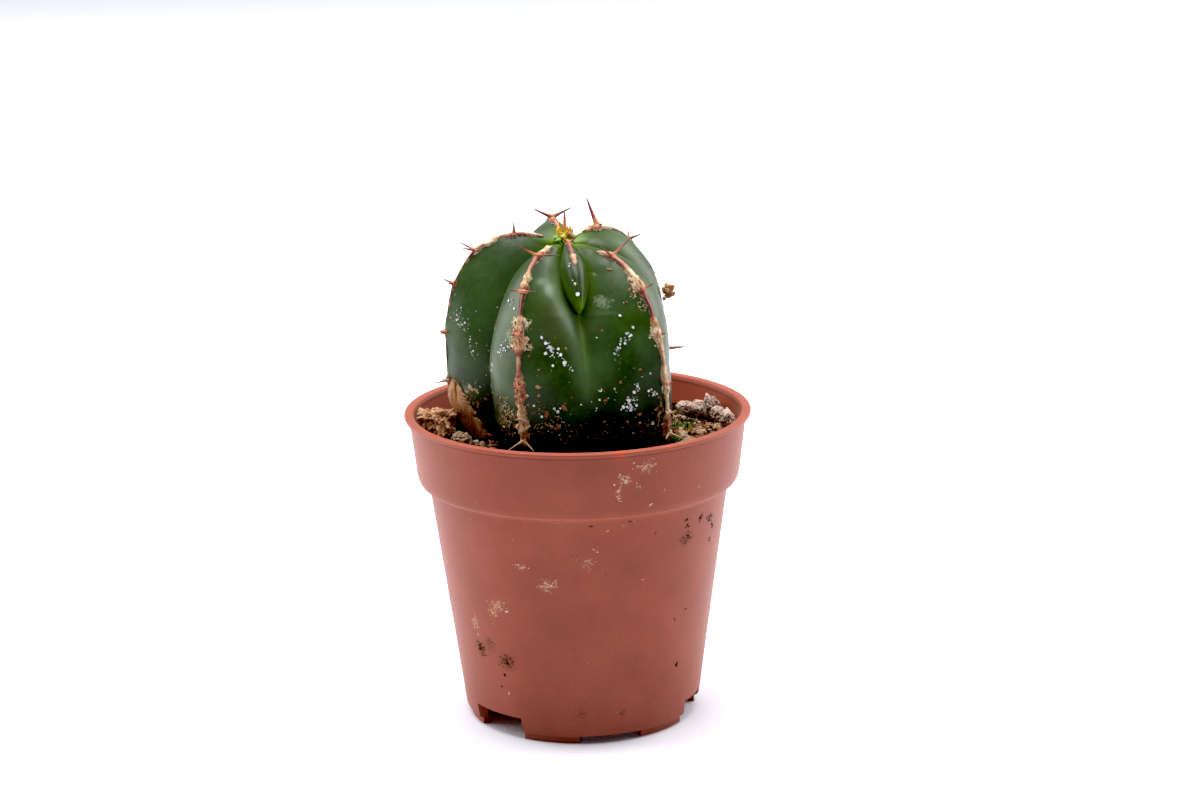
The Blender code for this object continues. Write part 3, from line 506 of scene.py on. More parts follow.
def arc_line(t, top, widest, waist_in, power):
    """Radius and height at t on the side, where it swells to its widest and then draws in."""
    if t <= 2:
        a = (t - 1) * math.pi / 2
        return (top[0] + (widest - top[0]) * math.sin(a) ** (2 / power),
                WIDEST_Z + (top[1] - WIDEST_Z) * max(0.0, math.cos(a)) ** (2 / power))
    return widest - waist_in * (t - 2) ** 2, WIDEST_Z - WAIST_DROP * (t - 2)


def crest(t):
    if t <= 1:
        return SHOULDER_TOP_R * t, SHOULDER_TOP_Z - (SHOULDER_TOP_Z - APEX_Z) * (1 - t) ** 2
    return arc_line(t, (SHOULDER_TOP_R, SHOULDER_TOP_Z), WIDEST_R, WAIST_IN, SHOULDER_POWER)


def furrow(t):
    if t <= 1:
        return FURROW_TOP_R * t, APEX_Z - (APEX_Z - FURROW_TOP_Z) * t**2
    return arc_line(t, (FURROW_TOP_R, FURROW_TOP_Z), FURROW_WIDEST_R, FURROW_WAIST_IN, FURROW_POWER)


def young_half(z):
    return YOUNG_HALF * clamp((z - YOUNG_END_Z) / (APEX_Z - YOUNG_END_Z)) ** YOUNG_TAPER


def next_rib(i):
    azimuth, rise, reach = RIBS[(i + 1) % len(RIBS)]
    return azimuth + (360 if i == len(RIBS) - 1 else 0), rise, reach


def rib_share(azimuth, z):
    """How far the skin stands out, 0 in a furrow to 1 on a crest, and the rise and reach of its rib."""
    azimuth = (azimuth - RIBS[0][0]) % 360 + RIBS[0][0]
    i = max(k for k, rib in enumerate(RIBS) if rib[0] <= azimuth + 1e-9)
    start, rise, reach = RIBS[i]
    end, end_rise, end_reach = next_rib(i)
    valley, (top, middle, low) = FURROWS[i]
    half = young_half(z) if i == 0 else 0.0
    if abs(azimuth - valley) < half:
        return YOUNG_LIFT * (1 - (abs(azimuth - valley) / half) ** 2) ** YOUNG_POWER, 0.0, 1.0
    top_z, middle_z, low_z = FLANK_LEVELS
    if z > middle_z:
        power = middle + (top - middle) * clamp((z - middle_z) / (top_z - middle_z))
    else:
        power = middle + (low - middle) * clamp((middle_z - z) / (middle_z - low_z))
    if azimuth < valley:
        u = (azimuth - start) / (valley - half - start)
        power *= 0.8 if i == 0 else 1.0
    else:
        u, rise, reach = (end - azimuth) / (end - valley - half), end_rise, end_reach
        power *= 1.35 if i == 0 else 1.0
    # the front furrow is a rounded fold, and the others are sharp
    soft = 0.06 + 0.07 * clamp((71 - z) / 6) if i == 0 else 0.02
    share = ((1 - clamp(u)) ** 2 + soft**2) ** (power / 2) - soft**power
    share /= (1 + soft**2) ** (power / 2) - soft**power
    if i == 0:  # the front furrow is shallow, and runs out towards the soil
        depth = clamp((z - SHALLOW_TO_Z) / (SHALLOW_FROM_Z - SHALLOW_TO_Z)) ** SHALLOW_POWER
        share = 1 - (1 - share) * (SHALLOW_REST + (1 - SHALLOW_REST) * depth)
    return share, rise, reach


def skin(azimuth, t):
    """Radius about the stem's axis and height of the skin."""
    crest_r, crest_z = crest(t)
    furrow_r, furrow_z = furrow(t)
    share, rise, reach = rib_share(azimuth, crest_z)
    r = furrow_r + (crest_r * reach - furrow_r) * share
    z = furrow_z + (crest_z - furrow_z) * share
    return r, z + rise * share * clamp(r / RISE_R) * clamp((z - RISE_FROM_Z) / RISE_DROP)


def stem_axis(z):
    return STEM_X + STEM_LEAN * (z - LEAN_FROM_Z)


def skin_point(azimuth, t):
    r, z = skin(azimuth, t)
    return at(azimuth, r, z, stem_axis(z))


def skin_frame(azimuth, t, side=None):
    """A point of the skin, with the outward, sideways and downward directions there."""
    down = (skin_point(azimuth, t + 0.02) - skin_point(azimuth, t - 0.02)).normalized()
    side = side or (skin_point(azimuth + 1.0, t) - skin_point(azimuth - 1.0, t)).normalized()
    return skin_point(azimuth, t), down.cross(side).normalized(), side, down


def soil_spot(azimuth, radius, sink):
    """A point of the soil's surface, or a little below it."""
    place = at(azimuth, radius, 0)
    place.z = (soil_top(place.x / MM, place.y / MM) - sink) * MM
    return place


def free_ring(azimuth, size):
    """The radii between which a grain of this size lies clear of the stem and of the pot."""
    return skin(azimuth, SIDE_END)[0] + 0.5 + size, inner_radius(SOIL_LINE_Z) - 0.3 - size


def shaded_in_front(azimuth, value):
    """A tone, halved in front of the stem as painted shade, where the stem's swell shades the litter."""
    return value * (0.5 if -12 < azimuth < 52 else 1.0)


coarse = [], [], []
draw = random.Random(7)
for _ in range(GRIT_COUNT):
    azimuth, size = draw.uniform(-180, 180), draw.uniform(*GRIT_R)
    inner = skin(azimuth, SIDE_END)[0] + GRIT_CLEAR + size
    radius = draw.uniform(inner, inner_radius(SOIL_LINE_Z) - GRIT_CLEAR - size)
    if any(start < azimuth < end for start, end in LAID_SPANS) and radius + size > LAID_INNER_R:
        continue
    for _ in range(12):  # the grains lie as they do because of these draws, so they stay
        draw.uniform(0, 1)
    own = random.Random(round(azimuth * 100))
    move = stone_move(own, soil_spot(azimuth, radius, GRIT_SUNK * size), (size, size * 0.85, size * 0.75),
                      own.uniform(0, 360), 0.45)
    # painted shade: the grit at the left front, under the stem, is darkened
    painted_shade = 0.3 if -70 < azimuth < -30 else 1.0
    add_copy(coarse, grain_320, move, own.choice((0.1, 0.2, 0.3, 0.4, 0.55, 0.7)) * painted_shade)
draw = random.Random(31)
crumbs, bark_bits, grit = ([], [], []), ([], [], []), ([], [], [])
for k in range(3600):
    azimuth = draw.uniform(-180, 180)
    kind = draw.random()
    size = draw.uniform(0.18, 0.5) if kind < 0.7 else draw.uniform(0.22, 0.62)
    inner, outer = free_ring(azimuth, size * 0.4)
    radius = math.sqrt(draw.uniform(inner**2, outer**2))
    sink = draw.uniform(-0.3, 0.25) * size + 0.05
    spot = soil_spot(azimuth, radius, sink)
    turn = draw.uniform(0, 360)
    if kind < 0.6:
        add_copy(crumbs, grain_20, stone_move(draw, spot, (size, size * 0.8, size * 0.7), turn, 0.5),
                 draw.random())
    elif kind < 0.86:
        long = size * draw.uniform(1.0, 2.4)
        add_copy(bark_bits, grain_20, stone_move(draw, spot, (long, size * 0.6, size * 0.35), turn, 0.5, 0.7),
                 shaded_in_front(azimuth, draw.random()))
    else:
        add_copy(grit, grain_80, stone_move(draw, spot, (size, size * 0.8, size * 0.7), turn, 0.5),
                 draw.random())
# rust-brown litter at the foot of the left front rib, and more of it along the front and the right
for middle, spread, count in ((-15.0, 8.0, 170), (12.0, 12.0, 30), (62.0, 12.0, 90), (96.0, 16.0, 150),
                              (-58.0, 6.0, 60)):
    for _ in range(count):
        azimuth, size = middle + draw.gauss(0, 0.5) * spread, draw.uniform(0.2, 0.5)
        inner, outer = free_ring(azimuth, size * 0.5)
        spot = soil_spot(azimuth, draw.uniform(inner, outer), -0.1 * size)
        radii = size * draw.uniform(1.0, 2.0), size * 0.6, size * 0.4
        move = stone_move(draw, spot, radii, draw.uniform(0, 360), 0.5, 0.8)
        add_copy(bark_bits, grain_20, move, shaded_in_front(azimuth, draw.uniform(0.1, 0.75)))
# two tufts of moss on the right, and some at the back: short blades that stand every way
moss = [], [], []
for middle, radius, spread, count in ((63.0, 16.8, 1.2, 120), (106.0, 17.4, 1.5, 170), (160.0, 20.5, 1.3, 80),
                                      (-140.0, 21.0, 1.1, 70)):
    for _ in range(count):
        azimuth = middle + math.degrees(draw.gauss(0, 0.5) * spread / radius)
        inner, outer = free_ring(azimuth, 0.3)
        share = clamp((radius + draw.gauss(0, 0.5) * spread - inner) / (outer - inner))
        spot = soil_spot(azimuth, share * (outer - inner) + inner, -0.3)
        radii = 0.08, 0.09, draw.uniform(0.35, 0.75)
        move = stone_move(draw, spot, radii, draw.uniform(0, 360), 0.3, 0.8)
        add_copy(moss, grain_20, move, draw.random())
add_faces(grit, *coarse)
for name, made, stops, size in (
    ("peat_crumbs", crumbs, ((0.0, "#160E08"), (0.5, "#2F1D12"), (0.8, "#573722"), (1.0, "#7C5334")), 0.4),
    ("bark_litter", bark_bits, ((0.0, "#3E2012"), (0.35, "#7E4A2A"), (0.6, "#A1774E"), (1.0, "#C4A47E")), 0.3),
    ("pumice_grit", grit, ((0.0, "#4E3B2A"), (0.35, "#84694F"), (0.7, "#A98D73"), (1.0, "#C8B6A6")), 0.35),
    ("moss_tufts", moss, ((0.0, "#26340F"), (0.4, "#46631F"), (0.7, "#6C8A34"), (1.0, "#9AA957")), 0.3),
):
    # each kind of grain is dull and porous, and no two grains or blades have quite the same colour
    mat = toned_material(
        name + "_surface", {"Scale": 1 / (size * MM), "Detail": 5.0, "Roughness": 0.7}, 0.5, stops,
        {"Roughness": 0.92, "Specular IOR Level": 0.25}, drop=0.25, bump=(0.7, 0.12))
    slot = {"bark_litter": "bark", "pumice_grit": "pumice"}.get(name, "potting_mix")
    finish_piece(mesh_piece(name, *made), mat, slot, angle=50)

# ---- Stem --------------------------------------------------------------------------------------------
# The water-filled stem of the euphorbia under a tough waxy skin: five ribs, a sixth, young rib wedged
# into the front furrow, and a stem end that narrows into the root below the soil.
FLANK_STEPS, YOUNG_STEPS, SKIN_ROWS = 24, 18, 190
MARGIN_SPANS = ((0.85, 2.62), (1.02, 2.66), (0.65, 2.72), (0.3, 2.72), (0.5, 2.26))


def skin_columns(t):
    """The azimuths of the skin's points: closer together at the furrows, and spread over the young rib."""
    z, columns = crest(t)[1], []
    ease = [1 - (1 - k / FLANK_STEPS) ** 1.5 for k in range(FLANK_STEPS + 1)]
    for i, (start, *_) in enumerate(RIBS):
        end, valley = next_rib(i)[0], FURROWS[i][0]
        half = max(young_half(z), min(6.0, 0.7 + 0.4 * max(0.0, YOUNG_END_Z - z))) if i == 0 else 0.0
        columns += [start + (valley - half - start) * share for share in ease[:-1]]
        if i == 0:
            steps = range(-YOUNG_STEPS, YOUNG_STEPS + 1)
            columns += [valley + half * math.sin(math.pi / 2 * k / YOUNG_STEPS) for k in steps]
        else:
            columns.append(valley)
        columns += [end + (valley + half - end) * share for share in reversed(ease[1:-1])]
    return columns + [RIBS[0][0] + 360]


def half_turn(angle):
    """The same angle between -180 and 180 degrees."""
    return (angle + 180) % 360 - 180


def crest_distance(azimuth, r):
    """Millimetres round the stem to the nearest crest, and that rib's number."""
    gap, k = min((abs(half_turn(azimuth - rib[0])), k) for k, rib in enumerate(RIBS))
    return math.radians(gap) * r, k


skin_t = [0.0, 0.12, 0.24, 0.36, 0.48, 0.6, 0.72, 0.84, 0.94, 1.0, 1.015, 1.03, 1.045]
even_rows = SKIN_ROWS - len(skin_t)
skin_t += [1.06 + (SIDE_END - 1.06) * k / even_rows for k in range(even_rows + 1)]
all_columns = [skin_columns(t) for t in skin_t]
ROOT_RINGS = ((42.0, 0.93), (40.0, 0.78), (38.6, 0.5), (38.6, 0.0))  # height, share of the stem's radius
last_row = len(skin_t) + len(ROOT_RINGS) - 1
stem = grid_piece("stem_skin", len(all_columns[0]) - 1, last_row)
lime, wax, young, scuff, flush = [], [], [], [], []
# the flank of the left front rib bulges over the furrow: azimuth and height of the bulge at each t
FOLD = ((1.0, -11.0, 0.0), (1.14, -11.5, 0.8), (1.3, -11.0, 1.0), (1.5, -6.5, 1.1), (1.6, -3.0, 1.1),
        (1.72, 1.0, 0.95), (1.85, 4.0, 0.7), (2.0, 6.0, 0.3), (2.15, 7.0, 0.0))
# Wax lies thick in patches, and some patches are painted highlights on the fold and the flanks: azimuth, t,
# half the width in degrees, half the height in t, strength.
BLOOM_AND_HIGHLIGHTS = ((-17.0, 1.38, 3.0, 0.045, 1.1), (-12.0, 1.44, 3.0, 0.05, 1.1), (-54.0, 1.85, 8.0, 0.4, 0.6),
         (113.0, 1.2, 16.0, 0.16, 0.5), (192.0, 1.15, 12.0, 0.2, 0.5), (-88.0, 2.05, 7.0, 0.2, 0.3))
SCUFFS = (  # grazed places, with their measures as above
    (23.5, 1.53, 7.0, 0.06), (-29.0, 1.735, 6.0, 0.045), (-21.0, 1.66, 2.6, 0.02), (-73.0, 2.2, 5.0, 0.1),
    (27.0, 1.33, 2.0, 0.03), (115.0, 1.7, 8.0, 0.1), (170.0, 1.9, 7.0, 0.14), (215.0, 1.5, 6.0, 0.1),
    (250.0, 2.0, 7.0, 0.12))
for v in stem.data.vertices:
    column = round((v.co.x + 1) / 2 * (len(all_columns[0]) - 1))
    row = round((v.co.y + 1) / 2 * last_row)
    t = skin_t[min(row, len(skin_t) - 1)]
    azimuth = all_columns[min(row, len(skin_t) - 1)][column]
    turn = math.radians(azimuth)
    r, z = skin(azimuth, t)
    if row >= len(skin_t):
        z, share = ROOT_RINGS[row - len(skin_t)]
        r, fold = r * share, 0.0
    else:
        away, k = crest_distance(azimuth, r)
        start, end = MARGIN_SPANS[k]
        ridge, fold = math.exp(-(away / 0.5) ** 2) * clamp((t - start) * 8 + 1) * clamp((end - t) * 8 + 1), 0.0
        rolling = Vector((math.sin(turn), math.cos(turn), 0)) * r + Vector((0, 0, z))
        for (t0, a0, h0), (t1, a1, h1) in zip(FOLD, FOLD[1:]):
            if t0 <= t <= t1:
                share = (t - t0) / (t1 - t0)
                off = half_turn(azimuth - a0 - (a1 - a0) * share)
                fold = (h0 + (h1 - h0) * share) * math.exp(-(math.radians(off) * r / 1.25) ** 2)
        # the left rib swells below its third shield and draws in again under it
        swell = 0.22 * math.exp(-((t - 1.82) / 0.06) ** 2) - 0.25 * math.exp(-((t - 1.945) / 0.045) ** 2)
        r += swell * math.exp(-(away / 3.0) ** 2) if k == 4 else 0.0
        broad, narrow = 0.24 * noise.noise(rolling / 6.5), 0.07 * noise.noise(rolling / 2.4)
        r += clamp(r / 6) * (0.16 * ridge + 0.5 * fold + broad + narrow)
    v.co = at(azimuth, r, z, stem_axis(z))
    off = half_turn(azimuth - FURROWS[0][0])
    half = young_half(crest(t)[1])
    groove = math.exp(-(math.radians(off) * r / (0.28 + 0.05 * max(0, z - 62))) ** 2)
    groove *= clamp((z - 57) / 10) * clamp((71.5 - z) / 2)
    heart = math.exp(-(r / 3.0) ** 2)
    crease = math.exp(-((abs(off) - half) / 5.0) ** 2) * clamp((z - 66) / 6) * clamp((t - 0.7) * 4)
    wide_enough = half > 1
    lime.append(clamp(groove * 0.4 + heart * clamp((z - 70) / 4) + (0.3 * crease if wide_enough else 0.0)))
    young.append(clamp(1.5 * (1 - abs(off) / half)) if wide_enough else 0.0)
    bloom_and_highlight = sum(strength * math.exp(-(half_turn(azimuth - a) / wide) ** 2 - ((t - mid) / high) ** 2)
                for a, mid, wide, high, strength in BLOOM_AND_HIGHLIGHTS)
    # painted highlight: the ridge of the fold and the highlight patches raise this share, so they are drawn
    # pale
    wax.append(min(2.0, 0.4 * clamp(noise.noise(v.co / (5 * MM)) + 0.5) + min(1.0, fold) + bloom_and_highlight))
    flush.append(math.exp(-(half_turn(azimuth + 7) / 9) ** 2 - ((t - 1.62) / 0.16) ** 2))
    gap = min((half_turn(azimuth - a) / wide) ** 2 + ((t - mid) / high) ** 2 for a, mid, wide, high in SCUFFS)
    scuff.append(math.exp(-gap) if row < len(skin_t) else 0.0)
write_values(stem.data, lime=lime, wax=wax, young=young, scuff=scuff, flush=flush)
close_mesh(merge=True)

# Waxy plant skin: deep green with a soft satin shine, greyer where the wax lies thick, paler with painted
# highlights on the fold and the flanks, yellow-green in the furrows where the skin is new, and stained by the
# soil and darkened with painted shade almost black at its foot. Its breathing pores show as very fine pale
# points.
epidermis, tree, shader = new_material("waxy_epidermis")
place = node(tree, "TexCoord").outputs["Object"]
clouds = node(tree, "TexNoise", {"Vector": place, "Scale": 1 / (6 * MM), "Detail": 4.0, "Roughness": 0.55})
colour = node(tree, "ValToRGB", {"Fac": clouds}, stops=((0.3, "#1B2D0C"), (0.5, "#253910"), (0.7, "#33471A")))
lime, wax, young, scuff, flush = (
    node(tree, "Attribute", attribute_name=key).outputs["Fac"]
    for key in ("lime", "wax", "young", "scuff", "flush"))
mottle = node(tree, "TexNoise", {"Vector": place, "Scale": 1 / (0.8 * MM), "Detail": 5.0, "Roughness": 0.7})
mottled = node(tree, "MapRange", {"Value": mottle, "From Min": 0.45, "From Max": 0.8, "To Max": 0.45})
flushed, waxy, fresher, newer = (
    node(tree, "Math", {0: value, 1: most}, operation="MULTIPLY")
    for value, most in ((flush, 0.45), (wax, 0.36), (young, 0.85), (lime, 0.8)))
# painted highlight: where the share passes one, the skin is drawn whitish green
thick_wax = node(tree, "MapRange", {"Value": wax, "From Min": 1.0, "From Max": 2.0, "To Max": 0.4})
# pores, really 0.05 mm, drawn at 0.1 mm
pore = node(tree, "TexVoronoi", {"Vector": place, "Scale": 1 / (0.7 * MM)})
pored = node(tree, "ValToRGB", {"Fac": pore}, stops=((0.06, 0.3), (0.13, 0.0)))
# grazed places, where the wax has gone powdery
powder = node(tree, "TexNoise", {"Vector": place, "Scale": 1 / (0.45 * MM), "Detail": 6.0, "Roughness": 0.75})
grazed = node(tree, "Math", {0: scuff, 1: 0.4, 2: powder}, operation="MULTIPLY_ADD")
grazing = node(tree, "MapRange", {"Value": grazed, "From Min": 0.74, "From Max": 0.9, "To Max": 0.7})
# the foot, stained by the soil and darkened with painted shadow, with an edge that wanders and slants down to
# the right
axes = node(tree, "SeparateXYZ", {"Vector": place}).outputs
slant = node(tree, "Math", {0: axes["X"], 1: -0.14, 2: axes["Z"]}, operation="MULTIPLY_ADD")
edge = node(tree, "Math", {0: clouds, 1: 8 * MM, 2: slant}, operation="MULTIPLY_ADD")
soil_stain_and_shade = node(tree, "MapRange", {"Value": edge, "From Min": 65 * MM, "From Max": 53 * MM, "To Max": 0.97},
            interpolation_type="SMOOTHSTEP")
for share, tint in (
    (mottled, "#3B5A22"), (flushed, "#3C3014"), (waxy, "#6C8260"), (thick_wax, "#A9B3A4"), (fresher, "#183004"),
    (newer, "#7C9E22"), (pored, "#7F9268"), (grazing, "#838F74"), (soil_stain_and_shade, "#070B04"),
):
    colour = node(tree, "Mix", {0: share, 6: colour, 7: tint}, data_type="RGBA")
fine = node(tree, "TexNoise", {"Vector": place, "Scale": 1 / (0.3 * MM), "Detail": 3.0, "Roughness": 0.6})
relief = node(tree, "Math", {0: clouds, 1: 3.0, 2: fine}, operation="MULTIPLY_ADD")
# the foot of the stem, soiled and painted into shadow, has lost its shine
shine = node(tree, "MapRange", {"Value": soil_stain_and_shade, "From Max": 0.97, "To Min": 0.32, "To Max": 0.12})
feed(tree, shader, {
    "Base Color": colour,
    "Roughness": node(tree, "MapRange", {"Value": mottle, "To Min": 0.26, "To Max": 0.46}),
    "Normal": node(tree, "Bump", {"Height": relief, "Strength": 0.22, "Distance": 0.07 * MM}),
    "IOR": 1.44, "Specular IOR Level": shine})
finish_piece(stem, epidermis, "stem_skin", "stem", angle=60)

# ---- Lime dots ---------------------------------------------------------------------------------------
# Hard water dried on the skin: each drop left a round spot of lime with a thicker rim. They run in
# chains where water ran down. Azimuth, t, radius; the last entries are loose swarms with a count.
DOTS = (
    (-14, 1.73, 0.2), (-12, 1.76, 0.25), (-10, 1.78, 0.26), (-6, 1.79, 0.22), (-5, 1.82, 0.26),
    (-3, 1.86, 0.24), (30, 1.72, 0.2), (32, 1.73, 0.22), (28, 1.77, 0.2), (25, 1.79, 0.2), (23, 1.82, 0.2),
    (22, 1.85, 0.2), (21, 1.87, 0.22), (18, 1.9, 0.2), (19, 1.93, 0.22), (31, 1.97, 0.22), (29, 1.99, 0.24),
    (26, 2.05, 0.26), (29, 2.12, 0.22), (23, 2.13, 0.26), (26, 2.17, 0.28), (36, 1.99, 0.2), (38, 2.0, 0.18),
    (13, 1.98, 0.34), (6, 1.52, 0.33), (29, 1.62, 0.22), (34, 1.69, 0.22), (-12, 1.81, 0.26), (-9, 1.87, 0.2),
    (-4, 1.86, 0.28), (0, 1.9, 0.16), (36, 2.38, 0.3), (-36, 1.54, 0.2), (-29, 1.58, 0.16), (-36, 1.79, 0.16),
    (-33, 1.81, 0.16), (-39, 1.83, 0.14), (-41, 1.86, 0.16), (-45, 1.9, 0.14), (3, 1.3, 0.16),
    (15.5, 1.74, 0.14), (-9, 1.5, 0.12), (-18.7, 2.08, 0.18), (-15.5, 2.22, 0.2), (-9, 2.12, 0.2),
    (-7.6, 2.16, 0.24), (-6.8, 2.12, 0.14),
)
SWARMS = (  # azimuth, t, half the width in degrees and half the height in t, slope of the swarm, count
    (-10, 1.79, 3.5, 0.03, 0.012, 26), (-4, 1.855, 2.2, 0.03, 0.01, 12), (29, 1.745, 2.5, 0.02, 0, 10),
    (24, 1.81, 3.0, 0.035, -0.012, 20), (20, 1.89, 2.0, 0.03, 0, 10), (28, 2.03, 4.0, 0.05, -0.012, 30),
    (25, 2.15, 3.6, 0.04, 0, 26), (37, 2.0, 2.5, 0.02, 0, 8), (-76, 1.77, 6.0, 0.06, 0.006, 34),
    (-69, 1.88, 4.0, 0.05, 0.01, 14), (-36, 1.82, 6.0, 0.035, -0.008, 26), (-43, 1.9, 4.0, 0.03, -0.01, 10),
    (-33, 1.54, 3.0, 0.03, 0, 6), (15, 1.95, 26.0, 0.3, 0, 26), (-60, 1.9, 22.0, 0.3, 0, 26),
    (100, 1.9, 22.0, 0.25, 0, 60), (160, 1.85, 30.0, 0.25, 0, 60), (235, 1.9, 26.0, 0.25, 0, 60),
    (120, 1.7, 8.0, 0.1, 0, 40), (205, 1.8, 6.0, 0.1, 0, 40),
)
# one dot, modelled once: a ring drawn in over its rim to a shallow middle
bpy.ops.mesh.primitive_circle_add(vertices=12, radius=1, fill_type="NOTHING")
bpy.ops.object.mode_set(mode="EDIT")
for scale, lift in ((0.86, 1.0), (0.62, -0.35), (0.3, -0.1)):
    bpy.ops.mesh.extrude_edges_move(TRANSFORM_OT_translate={"value": (0, 0, lift)})
    bpy.ops.transform.resize(value=(scale, scale, 1), center_override=(0, 0, 0))
bpy.ops.mesh.merge(type="CENTER")
close_mesh()
drop = copy_source()
draw = random.Random(12)


def lay_drop(into, azimuth, t, radius, thick, tone, draw, ragged=0.12, long=1.0):
    """Lays one thin round spot on the skin, ragged at its edge."""
    here, out, side, down = skin_frame(azimuth, t)
    lean = draw.uniform(0, math.pi)
    along = side * math.cos(lean) + down * math.sin(lean)
    over = down * math.cos(lean) - side * math.sin(lean)
    offset = noise_offset(draw)

    def move(co):
        wild = 1 + ragged * 2.2 * noise.noise(co * 1.7 + offset)
        flat = (along * co.x * long + over * co.y) * radius * wild
        return here + (flat + out * (co.z * thick + 0.04)) * MM
    add_copy(into, drop, move, tone)


dots = [], [], []
for azimuth, t, radius in DOTS:
    lay_drop(dots, azimuth + draw.uniform(-0.4, 0.4), t, radius, 0.07, draw.uniform(0.6, 1.0), draw)
for azimuth, t, wide, high, slope, count in SWARMS:
    for _ in range(count):
        off = draw.gauss(0, 0.5)
        spot = azimuth + off * wide
        spot_t = t + off * wide * slope + draw.gauss(0, 0.5) * high
        if 1.1 < spot_t < 2.45:
            radius = draw.choice((0.06, 0.07, 0.09, 0.12, 0.16))
            lay_drop(dots, spot, spot_t, radius, 0.05, draw.uniform(0.3, 1.0), draw)

# Lime scale: chalky white, a little see-through where it is thin, so some spots look grey-green.
chalk = toned_material("dried_lime", {"Scale": 1 / (0.15 * MM)}, 0.3, (
    (0.4, "#7E8C7C"), (0.8, "#AEB4B4"), (1.1, "#D9DBE2")), {"Roughness": 0.8})
finish_piece(mesh_piece("lime_dots", *dots), chalk, "pumice", angle=40)

# ---- Cork flecks and mud on the skin ------------------------------------------------------------------
# Where the skin was grazed it healed as tan cork, and mud splashed up from the soil has dried round
# the foot. Azimuth, t, radius, stretch, tone from mud to cream; then swarms as above with a tone.
FLECKS = (
    (36, 1.28, 0.3, 1.0, 0.6), (-36, 1.89, 0.4, 1.3, 0.55), (-34, 1.92, 0.36, 1.2, 0.5),
    (-45, 1.86, 0.3, 1.2, 0.5), (-5, 2.12, 0.25, 2.2, 0.32), (-13, 2.19, 0.3, 1.6, 0.3),
    (-16, 1.96, 0.24, 1.5, 0.6), (-16, 1.99, 0.2, 1.3, 0.55), (-21, 2.07, 0.22, 1.4, 0.5),
    (23, 1.95, 0.18, 1.2, 0.4), (33, 1.9, 0.16, 1.3, 0.42), (30, 1.98, 0.18, 1.2, 0.4),
    (13, 2.3, 0.14, 1.3, 0.5), (9, 1.98, 0.16, 1.6, 0.45), (4, 1.28, 0.12, 1.4, 0.8),
    (5.5, 1.45, 0.15, 1.7, 0.85), (4.4, 1.42, 0.11, 1.2, 0.85), (24, 2.32, 0.18, 1.3, 0.4),
    (30, 2.24, 0.2, 1.4, 0.4), (-8, 2.35, 0.2, 1.5, 0.45), (-70, 2.16, 0.4, 1.5, 0.75),
    (-67, 2.2, 0.3, 1.8, 0.7), (-72, 2.22, 0.25, 1.8, 0.72), (-26.9, 1.64, 0.22, 1.6, 0.95),
    (-21.2, 1.65, 0.24, 1.6, 0.95), (-27.4, 1.72, 0.26, 1.5, 0.85), (-20.6, 1.74, 0.24, 1.6, 0.85),
    (-28.0, 1.78, 0.26, 1.5, 0.8), (42.2, 1.72, 0.2, 1.6, 0.85), (46.8, 1.75, 0.22, 1.6, 0.85),
)
FLECK_SWARMS = (
    (-12, 2.34, 12.0, 0.2, 0, 90, 0.68), (-34, 2.25, 7.0, 0.24, 0, 190, 0.72),
    (-38, 2.42, 7.0, 0.14, 0, 90, 0.55), (35, 2.42, 10.0, 0.16, 0, 60, 0.6), (10, 2.45, 16.0, 0.14, 0, 30, 0.5),
    (42, 2.2, 5.0, 0.2, 0, 50, 0.6), (-70, 2.33, 10.0, 0.14, 0, 110, 0.6), (-80, 2.2, 6.0, 0.2, 0, 60, 0.66),
    (-31, 1.95, 6.0, 0.15, 0, 46, 0.72), (-27, 1.72, 4.0, 0.06, 0, 46, 0.85), (0, 1.9, 30.0, 0.35, 0, 60, 0.6),
    (-60, 1.9, 30.0, 0.35, 0, 70, 0.6), (-27.6, 1.66, 2.2, 0.035, 0, 44, 0.95),
    (-20.6, 1.67, 2.0, 0.035, 0, 44, 0.95), (-27.8, 1.76, 2.4, 0.04, 0, 50, 0.85),
    (-20.0, 1.78, 2.2, 0.04, 0, 40, 0.8), (41.6, 1.43, 2.0, 0.05, 0, 50, 0.85),
    (42.0, 1.73, 1.6, 0.04, 0, 30, 0.85), (47.0, 1.75, 1.6, 0.04, 0, 26, 0.85),
    (-27.0, 2.02, 2.2, 0.05, 0, 30, 0.7), (-17, 2.12, 6.0, 0.08, 0, 40, 0.45),
    (41, 1.52, 3.0, 0.14, 0, 46, 0.75), (110, 2.35, 22.0, 0.14, 0, 170, 0.6),
    (170, 2.35, 34.0, 0.14, 0, 220, 0.6), (240, 2.35, 30.0, 0.14, 0, 200, 0.6),
    (150, 1.9, 60.0, 0.35, 0, 80, 0.6),
)
MUD_SIZES, CORK_SIZES = (0.03, 0.035, 0.045, 0.055, 0.07, 0.085), (0.035, 0.045, 0.055, 0.07, 0.09, 0.14)
draw = random.Random(14)
flecks = [], [], []
for azimuth, t, radius, long, tone in FLECKS:
    lay_drop(flecks, azimuth, t, radius, 0.07, tone, draw, ragged=0.5, long=long)
for azimuth, t, wide, high, slope, count, tone in FLECK_SWARMS:
    for _ in range(count):
        spot_t = t + draw.gauss(0, 0.5) * high
        if 1.1 < spot_t < 2.9:
            sizes = MUD_SIZES if tone < 0.56 else CORK_SIZES
            lay_drop(flecks, azimuth + draw.gauss(0, 0.5) * wide, spot_t, draw.choice(sizes), 0.05,
                     clamp(tone + draw.uniform(-0.3, 0.15)), draw, ragged=0.5, long=draw.uniform(1.0, 2.2))

# Healing cork: dry, matt and tan, paler where it is old.
scar = toned_material("healing_cork", {"Scale": 1 / (0.2 * MM), "Detail": 4.0}, 0.4, (
    (0.2, "#2E1A0F"), (0.5, "#7C4628"), (0.75, "#926A40"), (0.95, "#A4926C"), (1.2, "#C6BA9A")),
    {"Roughness": 0.85})
finish_piece(mesh_piece("cork_flecks", *flecks), scar, "rib_horn", angle=40)

